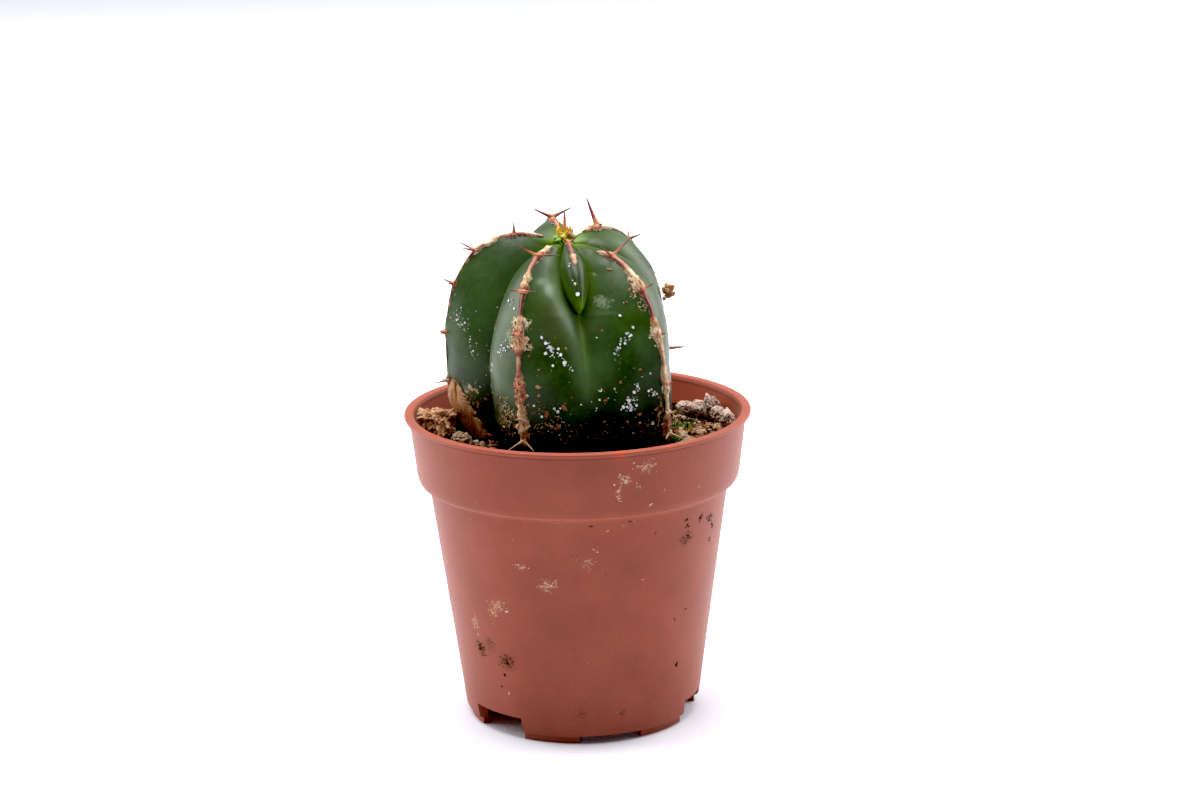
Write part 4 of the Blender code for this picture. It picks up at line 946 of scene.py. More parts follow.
# ---- Horny rib margins and their spines ---------------------------------------------------------------
# Along each crest the skin is replaced by a strip of horn, grown from the spine shields as they ran
# together. It is smooth red-brown horn when young, then cracks and turns to cream and tan cork. Each
# shield carries a pair of short thorns. A stretch: t, half its width, thickness, tone, roughness.
STRETCHES = {
    "a": ((0.85, 0.45, 0.3, 0.75, 0.4), (0.95, 0.75, 0.42, 0.85, 0.6), (1.06, 0.7, 0.42, 0.8, 0.6),
          (1.14, 0.95, 0.62, 0.3, 0.4), (1.2, 0.5, 0.4, 0.35, 0.35), (1.24, 0.45, 0.38, 0.5, 0.4),
          (1.32, 0.5, 0.4, 0.58, 0.5), (1.37, 0.85, 0.5, 0.8, 0.9), (1.42, 0.85, 0.55, 0.66, 0.9),
          (1.46, 0.8, 0.6, 0.3, 0.5), (1.5, 0.5, 0.5, 0.12, 0.3), (1.53, 0.38, 0.5, 0.1, 0.25),
          (1.6, 0.34, 0.45, 0.1, 0.25), (1.635, 0.9, 0.45, 0.85, 1.0), (1.66, 0.55, 0.45, 0.5, 0.9),
          (1.69, 0.8, 0.5, 0.5, 1.0), (1.73, 1.4, 0.6, 0.55, 1.0), (1.78, 1.25, 0.55, 0.62, 1.0),
          (1.81, 0.6, 0.45, 0.32, 0.6), (1.835, 0.42, 0.45, 0.75, 0.6), (1.88, 0.42, 0.45, 0.4, 0.5),
          (1.91, 0.6, 0.5, 0.45, 0.8), (1.95, 1.3, 0.6, 0.55, 1.0), (2.01, 1.5, 0.7, 0.5, 1.0),
          (2.08, 1.0, 0.6, 0.66, 0.9), (2.2, 1.1, 0.6, 0.7, 0.8), (2.3, 1.0, 0.6, 0.62, 0.9),
          (2.38, 1.4, 0.7, 0.75, 0.9), (2.46, 1.1, 0.6, 0.55, 0.9), (2.56, 0.8, 0.55, 0.45, 0.9),
          (2.62, 0.5, 0.4, 0.4, 0.8)),
    "b": ((1.02, 0.7, 0.35, 0.75, 0.5), (1.08, 0.8, 0.45, 0.75, 0.7), (1.14, 1.0, 0.62, 0.45, 0.5),
          (1.2, 0.6, 0.45, 0.5, 0.3), (1.28, 0.6, 0.42, 0.5, 0.3), (1.34, 0.7, 0.45, 0.9, 0.6),
          (1.4, 1.2, 0.5, 0.8, 1.0), (1.46, 1.1, 0.6, 0.75, 1.0), (1.5, 0.8, 0.55, 0.3, 0.5),
          (1.55, 0.5, 0.5, 0.12, 0.3), (1.62, 0.45, 0.48, 0.12, 0.3), (1.67, 0.7, 0.5, 0.6, 0.8),
          (1.74, 1.2, 0.6, 0.78, 1.0), (1.8, 0.6, 0.5, 0.65, 0.7), (1.88, 0.42, 0.42, 0.7, 0.4),
          (1.94, 0.8, 0.55, 0.7, 0.8), (1.98, 0.85, 0.6, 0.78, 0.8), (2.03, 0.45, 0.45, 0.8, 0.6),
          (2.2, 0.42, 0.45, 0.82, 0.6), (2.28, 0.55, 0.5, 0.7, 0.8), (2.36, 1.4, 0.5, 0.46, 1.0),
          (2.46, 1.6, 0.5, 0.46, 1.0), (2.55, 1.0, 0.5, 0.6, 1.0), (2.66, 0.6, 0.4, 0.55, 0.9)),
    "e": ((0.65, 0.4, 0.3, 0.6, 0.3), (0.8, 0.7, 0.4, 0.75, 0.6), (0.9, 1.4, 0.6, 0.62, 0.9),
          (1.02, 2.0, 0.9, 0.5, 1.0), (1.1, 1.2, 0.5, 0.75, 0.8), (1.2, 0.45, 0.4, 0.72, 0.4),
          (1.32, 0.45, 0.4, 0.6, 0.3), (1.38, 0.8, 0.55, 0.45, 0.5), (1.46, 0.45, 0.42, 0.5, 0.4),
          (1.6, 0.4, 0.42, 0.4, 0.4), (1.67, 0.75, 0.5, 0.5, 0.7), (1.8, 0.5, 0.45, 0.5, 0.6),
          (1.9, 0.8, 0.5, 0.6, 0.8), (2.0, 0.6, 0.5, 0.6, 0.8), (2.14, 0.85, 0.55, 0.6, 0.9),
          (2.3, 0.7, 0.5, 0.55, 0.9), (2.48, 1.0, 0.6, 0.5, 0.9), (2.72, 0.6, 0.4, 0.4, 0.9)),
    "d": ((0.3, 0.35, 0.3, 0.55, 0.2), (0.6, 0.5, 0.4, 0.55, 0.4), (0.9, 0.6, 0.42, 0.5, 0.4),
          (1.05, 1.15, 0.62, 0.5, 0.6), (1.14, 0.6, 0.5, 0.5, 0.5), (1.28, 0.5, 0.42, 0.4, 0.4),
          (1.38, 0.85, 0.55, 0.35, 0.5), (1.5, 0.5, 0.45, 0.4, 0.5), (1.62, 0.85, 0.55, 0.5, 0.7),
          (1.75, 0.55, 0.45, 0.55, 0.7), (1.88, 0.9, 0.55, 0.6, 0.9), (2.0, 0.6, 0.5, 0.6, 0.8),
          (2.15, 0.9, 0.55, 0.6, 0.9), (2.3, 0.7, 0.5, 0.5, 0.9), (2.5, 1.0, 0.6, 0.5, 0.9),
          (2.72, 0.6, 0.4, 0.4, 0.9)),
    "c": ((0.5, 0.35, 0.3, 0.8, 0.5), (0.8, 0.55, 0.35, 0.9, 0.7), (0.96, 0.75, 0.42, 0.75, 0.8),
          (1.04, 0.85, 0.5, 0.35, 0.5), (1.12, 0.6, 0.4, 0.8, 0.7), (1.24, 0.9, 0.45, 0.85, 0.9),
          (1.33, 0.9, 0.55, 0.5, 0.6), (1.39, 0.5, 0.42, 0.35, 0.4), (1.43, 0.45, 0.3, 0.85, 0.5),
          (1.47, 0.2, 0.05, 0.5, 0.3), (1.55, 0.2, 0.05, 0.5, 0.3), (1.6, 0.7, 0.5, 0.4, 0.5),
          (1.66, 0.3, 0.25, 0.5, 0.5), (1.72, 0.3, 0.2, 0.8, 0.5), (1.77, 0.2, 0.02, 0.5, 0.5),
          (1.82, 0.2, 0.05, 0.5, 0.5), (1.86, 0.6, 0.45, 0.5, 0.7), (1.9, 0.2, 0.02, 0.6, 0.6),
          (2.04, 0.2, 0.02, 0.6, 0.6), (2.1, 0.7, 0.5, 0.6, 0.8), (2.26, 0.5, 0.4, 0.5, 0.8)),
    "young": ((0.9, 0.3, 0.3, 0.3, 0.2), (0.96, 0.55, 0.42, 0.35, 0.3), (1.02, 0.6, 0.4, 0.3, 0.3),
              (1.06, 0.55, 0.1, 0.22, 0.3), (1.15, 0.5, 0.06, 0.3, 0.35), (1.17, 0.4, 0.05, 0.2, 0.3),
              (1.19, 0.72, 0.12, 0.7, 0.4), (1.27, 0.7, 0.12, 0.66, 0.4), (1.29, 0.6, 0.08, 0.3, 0.2),
              (1.3, 0.4, 0.05, 0.3, 0.2)),
}
# A shield's thorns: t, the left and the right one as length and spread from straight out, and how far
# both are turned down the rib.
SHIELDS = {
    "a": ((1.14, 3.9, 60, 3.9, 82, 0.14), (1.47, 2.2, 84, 2.2, 84, 0.0), (1.72, 0.9, 60, 0.9, 60, 0.1),
          (1.96, 0.9, 55, 0.8, 60, 0.1), (2.25, 0.9, 60, 0.8, 60, 0.1), (2.55, 2.8, 78, 2.2, 70, 0.6)),
    "b": ((1.14, 3.3, 60, 4.9, 58, 0.0), (1.47, 0.9, 60, 1.7, 60, 0.0), (1.74, 0.8, 60, 0.8, 60, 0.1),
          (1.97, 0.7, 60, 0.8, 60, 0.1), (2.27, 0.8, 60, 0.8, 60, 0.1), (2.56, 1.3, 70, 2.4, 45, 0.4)),
    "e": ((1.04, 0.9, 60, 4.9, 32, -0.1), (1.37, 2.4, 62, 1.9, 40, -0.1), (1.66, 1.3, 60, 1.3, 60, 0.0),
          (1.85, 1.2, 60, 1.2, 60, 0.1), (2.06, 4.1, 42, 1.5, 60, 0.0), (2.48, 1.4, 60, 1.4, 60, 0.3)),
    "d": ((1.05, 3.4, 66, 3.6, 68, -0.1), (1.38, 1.4, 60, 1.0, 40, 0.6), (1.62, 1.6, 62, 1.2, 50, 0.2),
          (1.88, 1.4, 60, 1.8, 58, 0.1), (2.15, 1.2, 60, 1.0, 60, 0.1), (2.5, 1.6, 66, 1.6, 66, 0.4)),
    "c": ((1.04, 1.0, 50, 2.2, 25, 0.0), (1.34, 3.2, 45, 2.9, 52, 0.35), (1.6, 1.8, 30, 1.2, 55, 0.0),
          (1.86, 1.0, 40, 1.0, 50, 0.1), (2.14, 1.1, 50, 2.2, 25, 0.0)),
    "young": ((1.0, 1.3, 52, 1.6, 58, -0.2),),
}
MARGIN_LIFT, MARGIN_COLUMNS = 0.32, 14
CREST_AZIMUTHS = {name: rib[0] for name, rib in zip("abedc", RIBS)} | {"young": FURROWS[0][0]}
SLIMNESS = {"a": 0.74, "b": 0.74, "e": 0.5, "d": 0.55, "c": 0.5, "young": 0.7}

# one thorn, modelled once: a ring drawn up and narrowed in steps, broad at its foot
THORN_PROFILE = (
    (1.0, 0.0), (0.98, 0.16), (0.74, 0.24), (0.57, 0.36), (0.47, 0.5), (0.38, 0.64), (0.28, 0.78), (0.18, 0.9),
    (0.07, 1.0))
turn_profile(9, THORN_PROFILE, 1)
thorn = copy_source()


def stretch_at(stretches, t):
    """Half width, thickness, tone and roughness at t, between the stretches given."""
    for before, after in zip(stretches, stretches[1:]):
        if t <= after[0]:
            share = clamp((t - before[0]) / (after[0] - before[0]))
            share = share * share * (3 - 2 * share)
            return [a + (b - a) * share for a, b in zip(before[1:], after[1:])]
    return stretches[-1][1:]


def grow_thorn(into, base, direction, length, radius, bend, sink=0.7, heel=0.16):
    """Adds a thorn to a piece. bend moves its tip, in millimetres. The tones run from foot to tip."""
    turn = direction.to_track_quat("Z", "Y").to_matrix()
    points, tones = [], []
    for co in thorn[0]:
        along = (co.z - heel) / (1 - heel)
        lifted = length * along if along > 0 else sink * along / heel
        straight = turn @ Vector((co.x * radius, co.y * radius, lifted))
        points.append(base + (straight + bend * max(0, along) ** 2) * MM)
        tones.append(clamp(along))
    add_faces(into, points, thorn[1], tones)


def crest_frame(rib, t):
    """The same on the crest of a rib, where sideways is level."""
    return skin_frame(rib, t, Vector((math.cos(math.radians(rib)), math.sin(math.radians(rib)), 0.0)))


# Horn and cork of the margin: satin red-brown horn, and dry fibrous cork with dark cracks. The fibres
# run along the rib, so the pattern follows the strip's own measure, and its thorns are dark horn with
# a paler foot and a grey tip.
horn, tree, shader = new_material("rib_horn_and_cork")
tone, rough, across, along, rim, on_thorn = (
    node(tree, "Attribute", attribute_name=key).outputs["Fac"]
    for key in ("tone", "corky", "across", "along", "rim", "on_thorn"))
place = node(tree, "TexCoord").outputs["Object"]
strip = node(tree, "CombineXYZ", {"X": across, "Y": along})
drawn = node(tree, "VectorMath", {0: strip, 1: (1.0, 0.3, 1.0)}, operation="MULTIPLY")
fibre = node(tree, "TexNoise", {"Vector": drawn, "Scale": 1 / (0.34 * MM), "Detail": 6.0, "Roughness": 0.75})
patch = node(tree, "TexNoise", {"Vector": place, "Scale": 1 / (0.8 * MM), "Detail": 5.0, "Roughness": 0.7})
wander = node(tree, "MapRange", {"Value": patch, "From Min": 0.3, "From Max": 0.7, "To Min": -0.34,
                                 "To Max": 0.3})
thread = node(tree, "MapRange", {"Value": fibre, "From Min": 0.3, "From Max": 0.7, "To Min": -0.3,
                                 "To Max": 0.22})
jitter = node(tree, "Math", {0: wander, 1: thread}, operation="ADD")
toned = node(tree, "Math", {0: jitter, 1: rough, 2: tone}, operation="MULTIPLY_ADD")
strip_colour = node(tree, "ValToRGB", {"Fac": toned}, stops=(
    (0.0, "#2E130E"), (0.16, "#56241B"), (0.34, "#8C4A39"), (0.48, "#A36C4E"), (0.62, "#B08A60"),
    (0.8, "#CDB28C"), (1.0, "#E6DAC6")))
crack = node(tree, "ValToRGB", {"Fac": fibre}, stops=((0.36, 0.9), (0.46, 0.0)))
cracked = node(tree, "Math", {0: crack, 1: rough}, operation="MULTIPLY")
# the edges of the strip are its oldest, darkest horn, and a thin dry skin peels white beside them
horny = node(tree, "MapRange", {"Value": rough, "From Min": 0.4, "From Max": 0.9, "To Min": 0.75,
                                "To Max": 0.2})
edged = node(tree, "MapRange", {"Value": rim, "From Min": 0.3, "From Max": 0.7, "To Max": horny})
smooth = node(tree, "MapRange", {"Value": rough, "From Min": 0.6, "From Max": 0.3, "To Max": 0.6})
middle = node(tree, "MapRange", {"Value": rim, "From Min": 0.34, "From Max": 0.08})
pale = node(tree, "Math", {0: smooth, 1: middle}, operation="MULTIPLY")
outer = node(tree, "Math", {0: rim, 1: patch}, operation="ADD")
peeled = node(tree, "MapRange", {"Value": outer, "From Min": 1.42, "From Max": 1.56, "To Max": 0.8})
for share, tint in ((cracked, "#2C150D"), (edged, "#5A221A"), (pale, "#B98470"), (peeled, "#D8CDB8")):
    strip_colour = node(tree, "Mix", {0: share, 6: strip_colour, 7: tint}, data_type="RGBA")
streak = node(tree, "Math", {0: wander, 1: 0.4, 2: tone}, operation="MULTIPLY_ADD")
thorn_colour = node(tree, "ValToRGB", {"Fac": streak}, stops=(
    (0.0, "#B5764A"), (0.18, "#A05434"), (0.38, "#82332A"), (0.62, "#5E1B1D"), (0.8, "#4B1D1D"),
    (0.93, "#62594F"), (1.0, "#7C8072")))
# the oldest thorns, near the soil, have bleached to straw
thorn_colour = node(tree, "Mix", {0: rim, 6: thorn_colour, 7: "#BCA681"}, data_type="RGBA")
feed(tree, shader, {
    "Base Color": node(tree, "Mix", {0: on_thorn, 6: strip_colour, 7: thorn_colour}, data_type="RGBA"),
    "Normal": node(tree, "Bump", {"Height": fibre, "Strength": 0.7, "Distance": 0.1 * MM}),
    "Roughness": node(tree, "MapRange", {"Value": rough, "To Min": 0.42, "To Max": 0.85})})

for name, rib in CREST_AZIMUTHS.items():
    stretches, shields = STRETCHES[name], SHIELDS[name]
    start, end = stretches[0][0], stretches[-1][0]
    rows = max(60, round((end - start) * 210))
    margin = grid_piece("margin_" + name, 2 * MARGIN_COLUMNS, rows)
    measured, before = [0.0], crest_frame(rib, start)[0]
    for k in range(1, rows + 1):
        here = crest_frame(rib, start + (end - start) * k / rows)[0]
        measured.append(measured[-1] + (here - before).length / MM)
        before = here
    tones, corky, spans, runs, rims = [], [], [], [], []
    seed = Vector((len(name) * 7.3 + rib, 0, 0))

    def stir(*place):
        return noise.noise(Vector(place) + seed)

    for v in margin.data.vertices:
        # the first half of the columns is the outer face, the second half runs back underneath
        column = round((v.co.x + 1) * MARGIN_COLUMNS)
        row = round((v.co.y + 1) / 2 * rows)
        t = start + (end - start) * row / rows
        here, out, side, down = crest_frame(rib, t)
        half, thick, tone_here, rough_here = stretch_at(stretches, t)
        run = measured[row]
        under = column > MARGIN_COLUMNS
        s = (2 * column / MARGIN_COLUMNS - 1) if not under else (3 - 2 * column / MARGIN_COLUMNS)
        ragged = stir(3.0 if s < 0 else 9.0, run / 1.1, 0) + 0.5 * stir(5.0 if s < 0 else 15.0, run / 0.4, 0)
        ends = clamp((t - start) * 14) * clamp((end - t) * 14)
        wide = SLIMNESS[name] * half * (1 + 0.8 * rough_here * ragged) * (0.25 + 0.75 * math.sqrt(ends))
        x = s * wide
        radius = max(4.0, skin(rib, t)[0])
        ground = skin_point(rib + math.degrees(x / radius), t)
        lumpy = stir(x / 0.5, run / 1.3, 0) + 0.55 * stir(x / 0.2, run / 0.6, 4)
        arch = math.sqrt(max(0.0, 1 - abs(s) ** 2.4))
        groove = 0.16 * (1 - rough_here) * math.exp(-(s / 0.3) ** 2)
        swollen = 0.14 + SLIMNESS[name] * thick * (1.0 + 0.8 * rough_here * lumpy) - groove
        lift = 0.02 if under else 0.05 + swollen * arch * (0.4 + 0.6 * ends)
        fan = (out + side * s * 0.35).normalized()
        v.co = ground + fan * lift * MM
        tones.append(clamp(tone_here + 0.16 * stir(x / 0.8, run / 1.1, 8)))
        corky.append(rough_here)
        spans.append(x * MM)
        runs.append(run * MM)
        rims.append(abs(s))
    write_values(margin.data, tone=tones, corky=corky, across=spans, along=runs, rim=rims,
                 on_thorn=[0.0] * len(tones))
    close_mesh(merge=True, fill=True)
    draw = random.Random(len(name) + round(rib))
    thorns, bleached = ([], [], []), []
    for t, left, left_spread, right, right_spread, turned in shields:
        here, out, side, down = crest_frame(rib, t)
        for sign, size, spread in ((-1, left, left_spread), (1, right, right_spread)):
            a = math.radians(spread)
            direction = (out * math.cos(a) + side * sign * math.sin(a) + down * turned).normalized()
            base = here + (out * (MARGIN_LIFT + 0.14) + side * sign * 0.25) * MM
            sway = direction.cross(down).normalized() * draw.uniform(-0.12, 0.02) * size * sign
            stout = 0.42 if name == "d" else 0.36 if size < 1.5 else 0.31
            if name == "e" and size > 3.5:
                stout = 0.6
            grow_thorn(thorns, base, direction, size, stout, sway)
            bleached += [0.85 if t > 2.4 else 0.45 if t > 2 else 0.0] * len(thorn[0])
    count = len(thorns[0])
    spikes = mesh_piece(
        "spikes", *thorns, corky=[0.25] * count, across=[p.x for p in thorns[0]],
        along=[p.z for p in thorns[0]], rim=bleached, on_thorn=[1.0] * count)
    pick(spikes, margin)
    bpy.ops.object.join()
    finish_piece(margin, horn, "rib_horn", "rib_margin_" + name, angle=50)

# ---- Growing tip -------------------------------------------------------------------------------------
# The living point in the middle of the crown: a boss of new tissue that pushes out tiny leaves, which
# soon dry, and the first orange thorns. A growth: azimuth, distance, tilt, length, radius, ripeness.
TIP_GROWTH = (
    (175, 0.4, 10, 3.9, 0.5, 0.86), (250, 0.7, 12, 2.1, 0.55, 0.66), (110, 0.9, 10, 1.6, 0.42, 0.45),
    (20, 0.8, 25, 1.0, 0.5, 0.5), (310, 0.8, 34, 1.2, 0.5, 0.5), (60, 0.6, 20, 1.1, 0.45, 0.72),
    (220, 0.9, 18, 1.7, 0.4, 0.55), (80, 1.0, 24, 1.4, 0.3, 0.4), (340, 1.0, 40, 0.9, 0.4, 0.3),
    (150, 0.9, 16, 1.5, 0.34, 0.34), (200, 0.2, 4, 2.4, 0.4, 0.7), (280, 0.9, 30, 1.3, 0.34, 0.5),
)
TIP_BUDS = (  # swollen buds round them: azimuth, distance, height, radii, ripeness
    (40, 1.25, 0.55, (0.5, 0.42, 0.6), 0.9), (-10, 1.35, 0.3, (0.42, 0.5, 0.5), 0.5),
    (265, 0.9, 1.1, (0.36, 0.36, 0.7), 0.6), (70, 1.5, 0.2, (0.5, 0.4, 0.42), 0.12),
    (300, 1.5, 0.1, (0.6, 0.5, 0.4), 0.1), (330, 1.7, -0.1, (0.5, 0.7, 0.35), 0.08),
    (10, 1.9, -0.3, (0.6, 0.6, 0.4), 0.1),
)
draw = random.Random(3)
growth = [], [], []
middle = Vector((stem_axis(APEX_Z), 0, APEX_Z + 1.35)) * MM
add_copy(growth, grain_320, stone_move(draw, middle, (1.35, 1.3, 0.85), 0, 0.12, 0.1), 0.1)
for azimuth, away, tilt, length, radius, ripeness in TIP_GROWTH:
    lean, flat = math.radians(tilt), at(azimuth, 1, 0).normalized()
    direction = Vector((flat.x * math.sin(lean), flat.y * math.sin(lean), math.cos(lean)))
    one = [], [], []
    base = middle + (flat * away + Vector((0, 0, 0.4))) * MM
    grow_thorn(one, base, direction, length, radius * 1.25, -flat * 0.16 * length, sink=0.6)
    add_faces(growth, one[0], one[1], [clamp(ripeness - 0.22 + 0.34 * foot) for foot in one[2]])
for azimuth, away, up, radii, ripeness in TIP_BUDS:
    spot = middle + (at(azimuth, 1, 0).normalized() * away + Vector((0, 0, up))) * MM
    add_copy(growth, grain_80, stone_move(draw, spot, radii, azimuth, 0.2, 0.2), ripeness)

# New leaf and thorn tissue: smooth, moist and slightly see-through, green at the foot and ripening
# through yellow to orange-brown.
tissue = toned_material("new_growth_tissue", {"Scale": 1 / (0.5 * MM), "Detail": 3.0}, 0.2, (
    (0.1, "#4F7A1C"), (0.3, "#8FA932"), (0.5, "#C6B33A"), (0.68, "#D9A02C"), (0.85, "#C9782F"),
    (1.05, "#A05A3C")),
    {"Roughness": 0.4, "Subsurface Weight": 0.15, "Subsurface Radius": (0.0006, 0.0005, 0.0001)},
    bump=(0.3, 0.1))
finish_piece(mesh_piece("growing_point", *growth), tissue, "young_growth", "growing_tip", angle=50)

# ---- Cork flake --------------------------------------------------------------------------------------
# Old bark that has crept up over the foot of the left rib: a thick fibrous flake, pointed and frayed
# at its top, cracked lengthwise, and darker and more golden towards the soil.
CORK_LEFT, CORK_TOP_T, CORK_FOOT_T, CORK_THICK = -79.0, 2.1, 2.78, 0.55
CORK_ACROSS, CORK_DOWN = 64, 90
flake = grid_piece("bark_flake", 2 * CORK_ACROSS, CORK_DOWN)
tones = []
for v in flake.data.vertices:
    column, row = round((v.co.x + 1) * CORK_ACROSS), round((v.co.y + 1) / 2 * CORK_DOWN)
    share = row / CORK_DOWN
    under = column > CORK_ACROSS
    s = column / CORK_ACROSS if not under else 2 - column / CORK_ACROSS
    left, right = CORK_LEFT - 2.0 + 9.0 * share**2, CORK_LEFT + 3.4 + 12.0 * share**0.9
    fray = 0.08 * noise.noise(Vector((s * 9, 0, 3))) + 0.06 * noise.noise(Vector((s * 26, 0, 5)))
    notch = 0.2 * math.exp(-((s - 0.62) / 0.12) ** 2) + 0.16 * clamp(s - 0.7)
    notch -= 0.04 * math.exp(-((s - 0.35) / 0.2) ** 2)
    t = CORK_TOP_T + (CORK_FOOT_T - CORK_TOP_T) * (share + (fray + notch + 0.05) * (1 - share) ** 2)
    flank = 2 if s < 0.5 else 7
    jag = 1.6 * noise.noise(Vector((share * 9, flank, 0))) + 1.2 * noise.noise(Vector((share * 26, flank, 0)))
    azimuth = left + (right - left) * s + jag * abs(2 * s - 1) ** 4
    r, z = skin(azimuth, t)
    ridge = abs(noise.noise(Vector((azimuth * 0.9, z * 0.18, 0))))
    ridge += 0.5 * abs(noise.noise(Vector((azimuth * 2.2, z * 0.5, 3))))
    edge = min(1.0, 5 * min(s, 1 - s) + 0.25) * min(1.0, 4 * share + 0.3)
    crack = math.exp(-((s - 0.5 - 0.04 * math.sin(9 * share)) / 0.05) ** 2) * clamp(1.4 - 2 * share)
    curl = 0.7 * (1 - s) ** 2 * clamp(share * 5) * clamp(1.8 - 1.6 * share)
    lift = curl + 0.12
    if not under:
        lift = curl + 0.2 + (CORK_THICK * (0.35 + 0.9 * ridge) + 0.15) * edge - 0.5 * crack * edge
    v.co = at(azimuth, r + lift, z, stem_axis(z))
    tones.append(clamp(0.75 - 0.5 * share + 0.5 * (ridge - 0.35) - 0.6 * crack))
write_values(flake.data, tone=tones)
close_mesh(merge=True, fill=True)

# Fibrous bark: dry, no shine, orange-tan with dark cracks along the fibres.
bark = toned_material(
    "fibrous_bark", {"Scale": 1 / (0.22 * MM), "Detail": 6.0, "Roughness": 0.75}, 0.9, (
        (0.05, "#2F1B10"), (0.2, "#7C5033"), (0.4, "#AE784F"), (0.6, "#C4906A"), (0.8, "#D2A985"),
        (1.0, "#DEC4A4")),
    {"Roughness": 0.9, "Specular IOR Level": 0.25}, drop=0.45, bump=(1.0, 0.2), stretch=(1.0, 1.0, 0.4))
finish_piece(flake, bark, "bark", "cork_flake", angle=60)

# ---- Bark chip ---------------------------------------------------------------------------------------
# A broken piece of composted bark that lies on the soil at the wall and leans up against the flake.
# It is a slab of soft brown fibre, crumbled at its edges and full of pits. Its middle line: azimuth,
# distance, height over the soil.
BARK_CHIP = ((-98, 23.4, 1.7), (-89, 22.8, 2.3), (-80, 22.1, 3.2), (-72, 21.5, 4.0))
chip_line = [soil_spot(azimuth, radius, -height) for azimuth, radius, height in BARK_CHIP]
bpy.ops.mesh.primitive_cube_add(size=2)
chip = bpy.context.object
chip.name = "composted_bark_chip"
bpy.ops.object.mode_set(mode="EDIT")
bpy.ops.mesh.subdivide(number_cuts=34, smoothness=0)
bpy.ops.object.mode_set(mode="OBJECT")
tones = []
for v in chip.data.vertices:
    flat = v.co.copy()
    rounder = flat.normalized() * max(abs(c) for c in flat)
    shape = flat.lerp(rounder, 0.45)
    u = (shape.x + 1) / 2 * 3
    k = min(2, max(0, int(u)))
    spine_here = chip_line[k].lerp(chip_line[k + 1], u - k)
    flow = (chip_line[k + 1] - chip_line[k]).normalized()
    over = Vector((flow.y, -flow.x, 0)).normalized()
    up = flow.cross(over) if flow.cross(over).z > 0 else over.cross(flow)
    end = flow * (abs(shape.x) ** 6) * (1 if shape.x > 0 else -1) * 0.9
    # its outer side reaches down into the soil, and its inner side hangs free over a dark gap
    deep = 1.15 if shape.z > 0 else 1.15 + 2.2 * clamp((shape.y + 0.3) * 2.5)
    end += flow * 1.3 * max(0.0, -shape.z) * clamp(2 * shape.x) * clamp((shape.y + 0.3) * 2.5)
    co = spine_here + (over * shape.y * 2.2 + up * (shape.z * deep)) * MM + end * MM
    grain = co / MM
    pit = noise.noise(grain / 1.1) + 0.7 * noise.noise(grain / 0.45) + 0.6 * noise.noise(grain / 0.22)
    rugged = 0.24 if flat.z > 0.95 else 0.62
    v.co = co + (over * flat.y + up * flat.z + flow * flat.x * 0.4).normalized() * pit * rugged * MM
    v.co.z = max(v.co.z, (soil_top(v.co.x / MM, v.co.y / MM) + 0.12) * MM)
    # painted light and shade: the tone is darker in the pits and paler on the bumps, and the sides are toned a
    # little paler than the top to lighten their shade
    tones.append(clamp((0.46 if flat.z > 0.95 else 0.5) + 0.5 * pit))
write_values(chip.data, tone=tones)
# Soft rotten bark: browner and greyer than the flake, and black in its pits, which hold painted shade as well.
rotten = bark.copy()
rotten.name = "composted_bark"
for stop, colour in zip(next(n for n in rotten.node_tree.nodes if n.type == "VALTORGB").color_ramp.elements,
                        ("#20120B", "#583725", "#8C5E42", "#B0805C", "#C89E79", "#DAB996")):
    stop.color = rgb(colour)
finish_piece(chip, rotten, "bark", "bark_chip", angle=60)

# ---- Pumice stones -----------------------------------------------------------------------------------
# Bits of pumice from the mix, washed clean on top: frothy volcanic glass, pinkish white, worn round
# but full of open pores. A stone: azimuth, distance, rise over the soil, radii.
PUMICE = (  # node, seed, its stones, paleness
    ("pumice_heap", 9, ((130, 23.2, 0.3, (1.4, 2.0, 1.1)), (122, 23.4, 0.3, (1.4, 2.1, 1.3)),
                        (114, 23.7, 0.5, (1.2, 2.0, 1.9)), (107, 23.7, 0.3, (1.2, 1.8, 1.2))), 0.62),
    ("pumice_right", 13, ((93, 23.8, 0.3, (1.3, 2.0, 1.4)),), 0.66),
    ("pumice_left", 15, ((-60, 20.8, 0.3, (1.6, 2.3, 1.4)),), 0.32),
)
# The stones at two azimuths are broken: a burst bubble has left a hollow in the side, and horns on the
# top. A change of the form: how far out, its middle on a ball, how wide.
BROKEN = (114, 93)
BREAKS = ((-0.5, (-0.75, 0.35, 0.1), 0.42), (0.3, (0.1, 0.75, 0.65), 0.25), (0.26, (0.1, -0.7, 0.7), 0.22))

# Pumice: no shine, warm white with grey and pink clouds, and shadow in its pores.
pumice_mat, tree, shader = new_material("pumice_stone")
place = node(tree, "TexCoord").outputs["Object"]
pore = node(tree, "TexVoronoi", {"Vector": place, "Scale": 1 / (0.42 * MM)})
cloud = node(tree, "TexNoise", {"Vector": place, "Scale": 1 / (1.0 * MM), "Detail": 5.0, "Roughness": 0.65})
tone = node(tree, "Attribute", attribute_name="tone").outputs["Fac"]
mixed = node(tree, "Math", {0: cloud, 1: 0.9, 2: tone}, operation="MULTIPLY_ADD")
shift = node(tree, "Math", {0: mixed, 1: 0.45}, operation="SUBTRACT")
froth = node(tree, "ValToRGB", {"Fac": shift}, stops=(
    (0.1, "#523A28"), (0.35, "#876A54"), (0.6, "#B79C8E"), (0.85, "#CFBBB1"), (1.0, "#DFD2CB")))
hollow = node(tree, "ValToRGB", {"Fac": pore}, stops=((0.12, 0.55), (0.3, 0.0)))
feed(tree, shader, {
    "Base Color": node(tree, "Mix", {0: hollow, 6: froth, 7: "#5A4438"}, data_type="RGBA"),
    "Normal": node(tree, "Bump", {"Height": pore, "Strength": 0.8, "Distance": 0.15 * MM}), "Roughness": 0.9})
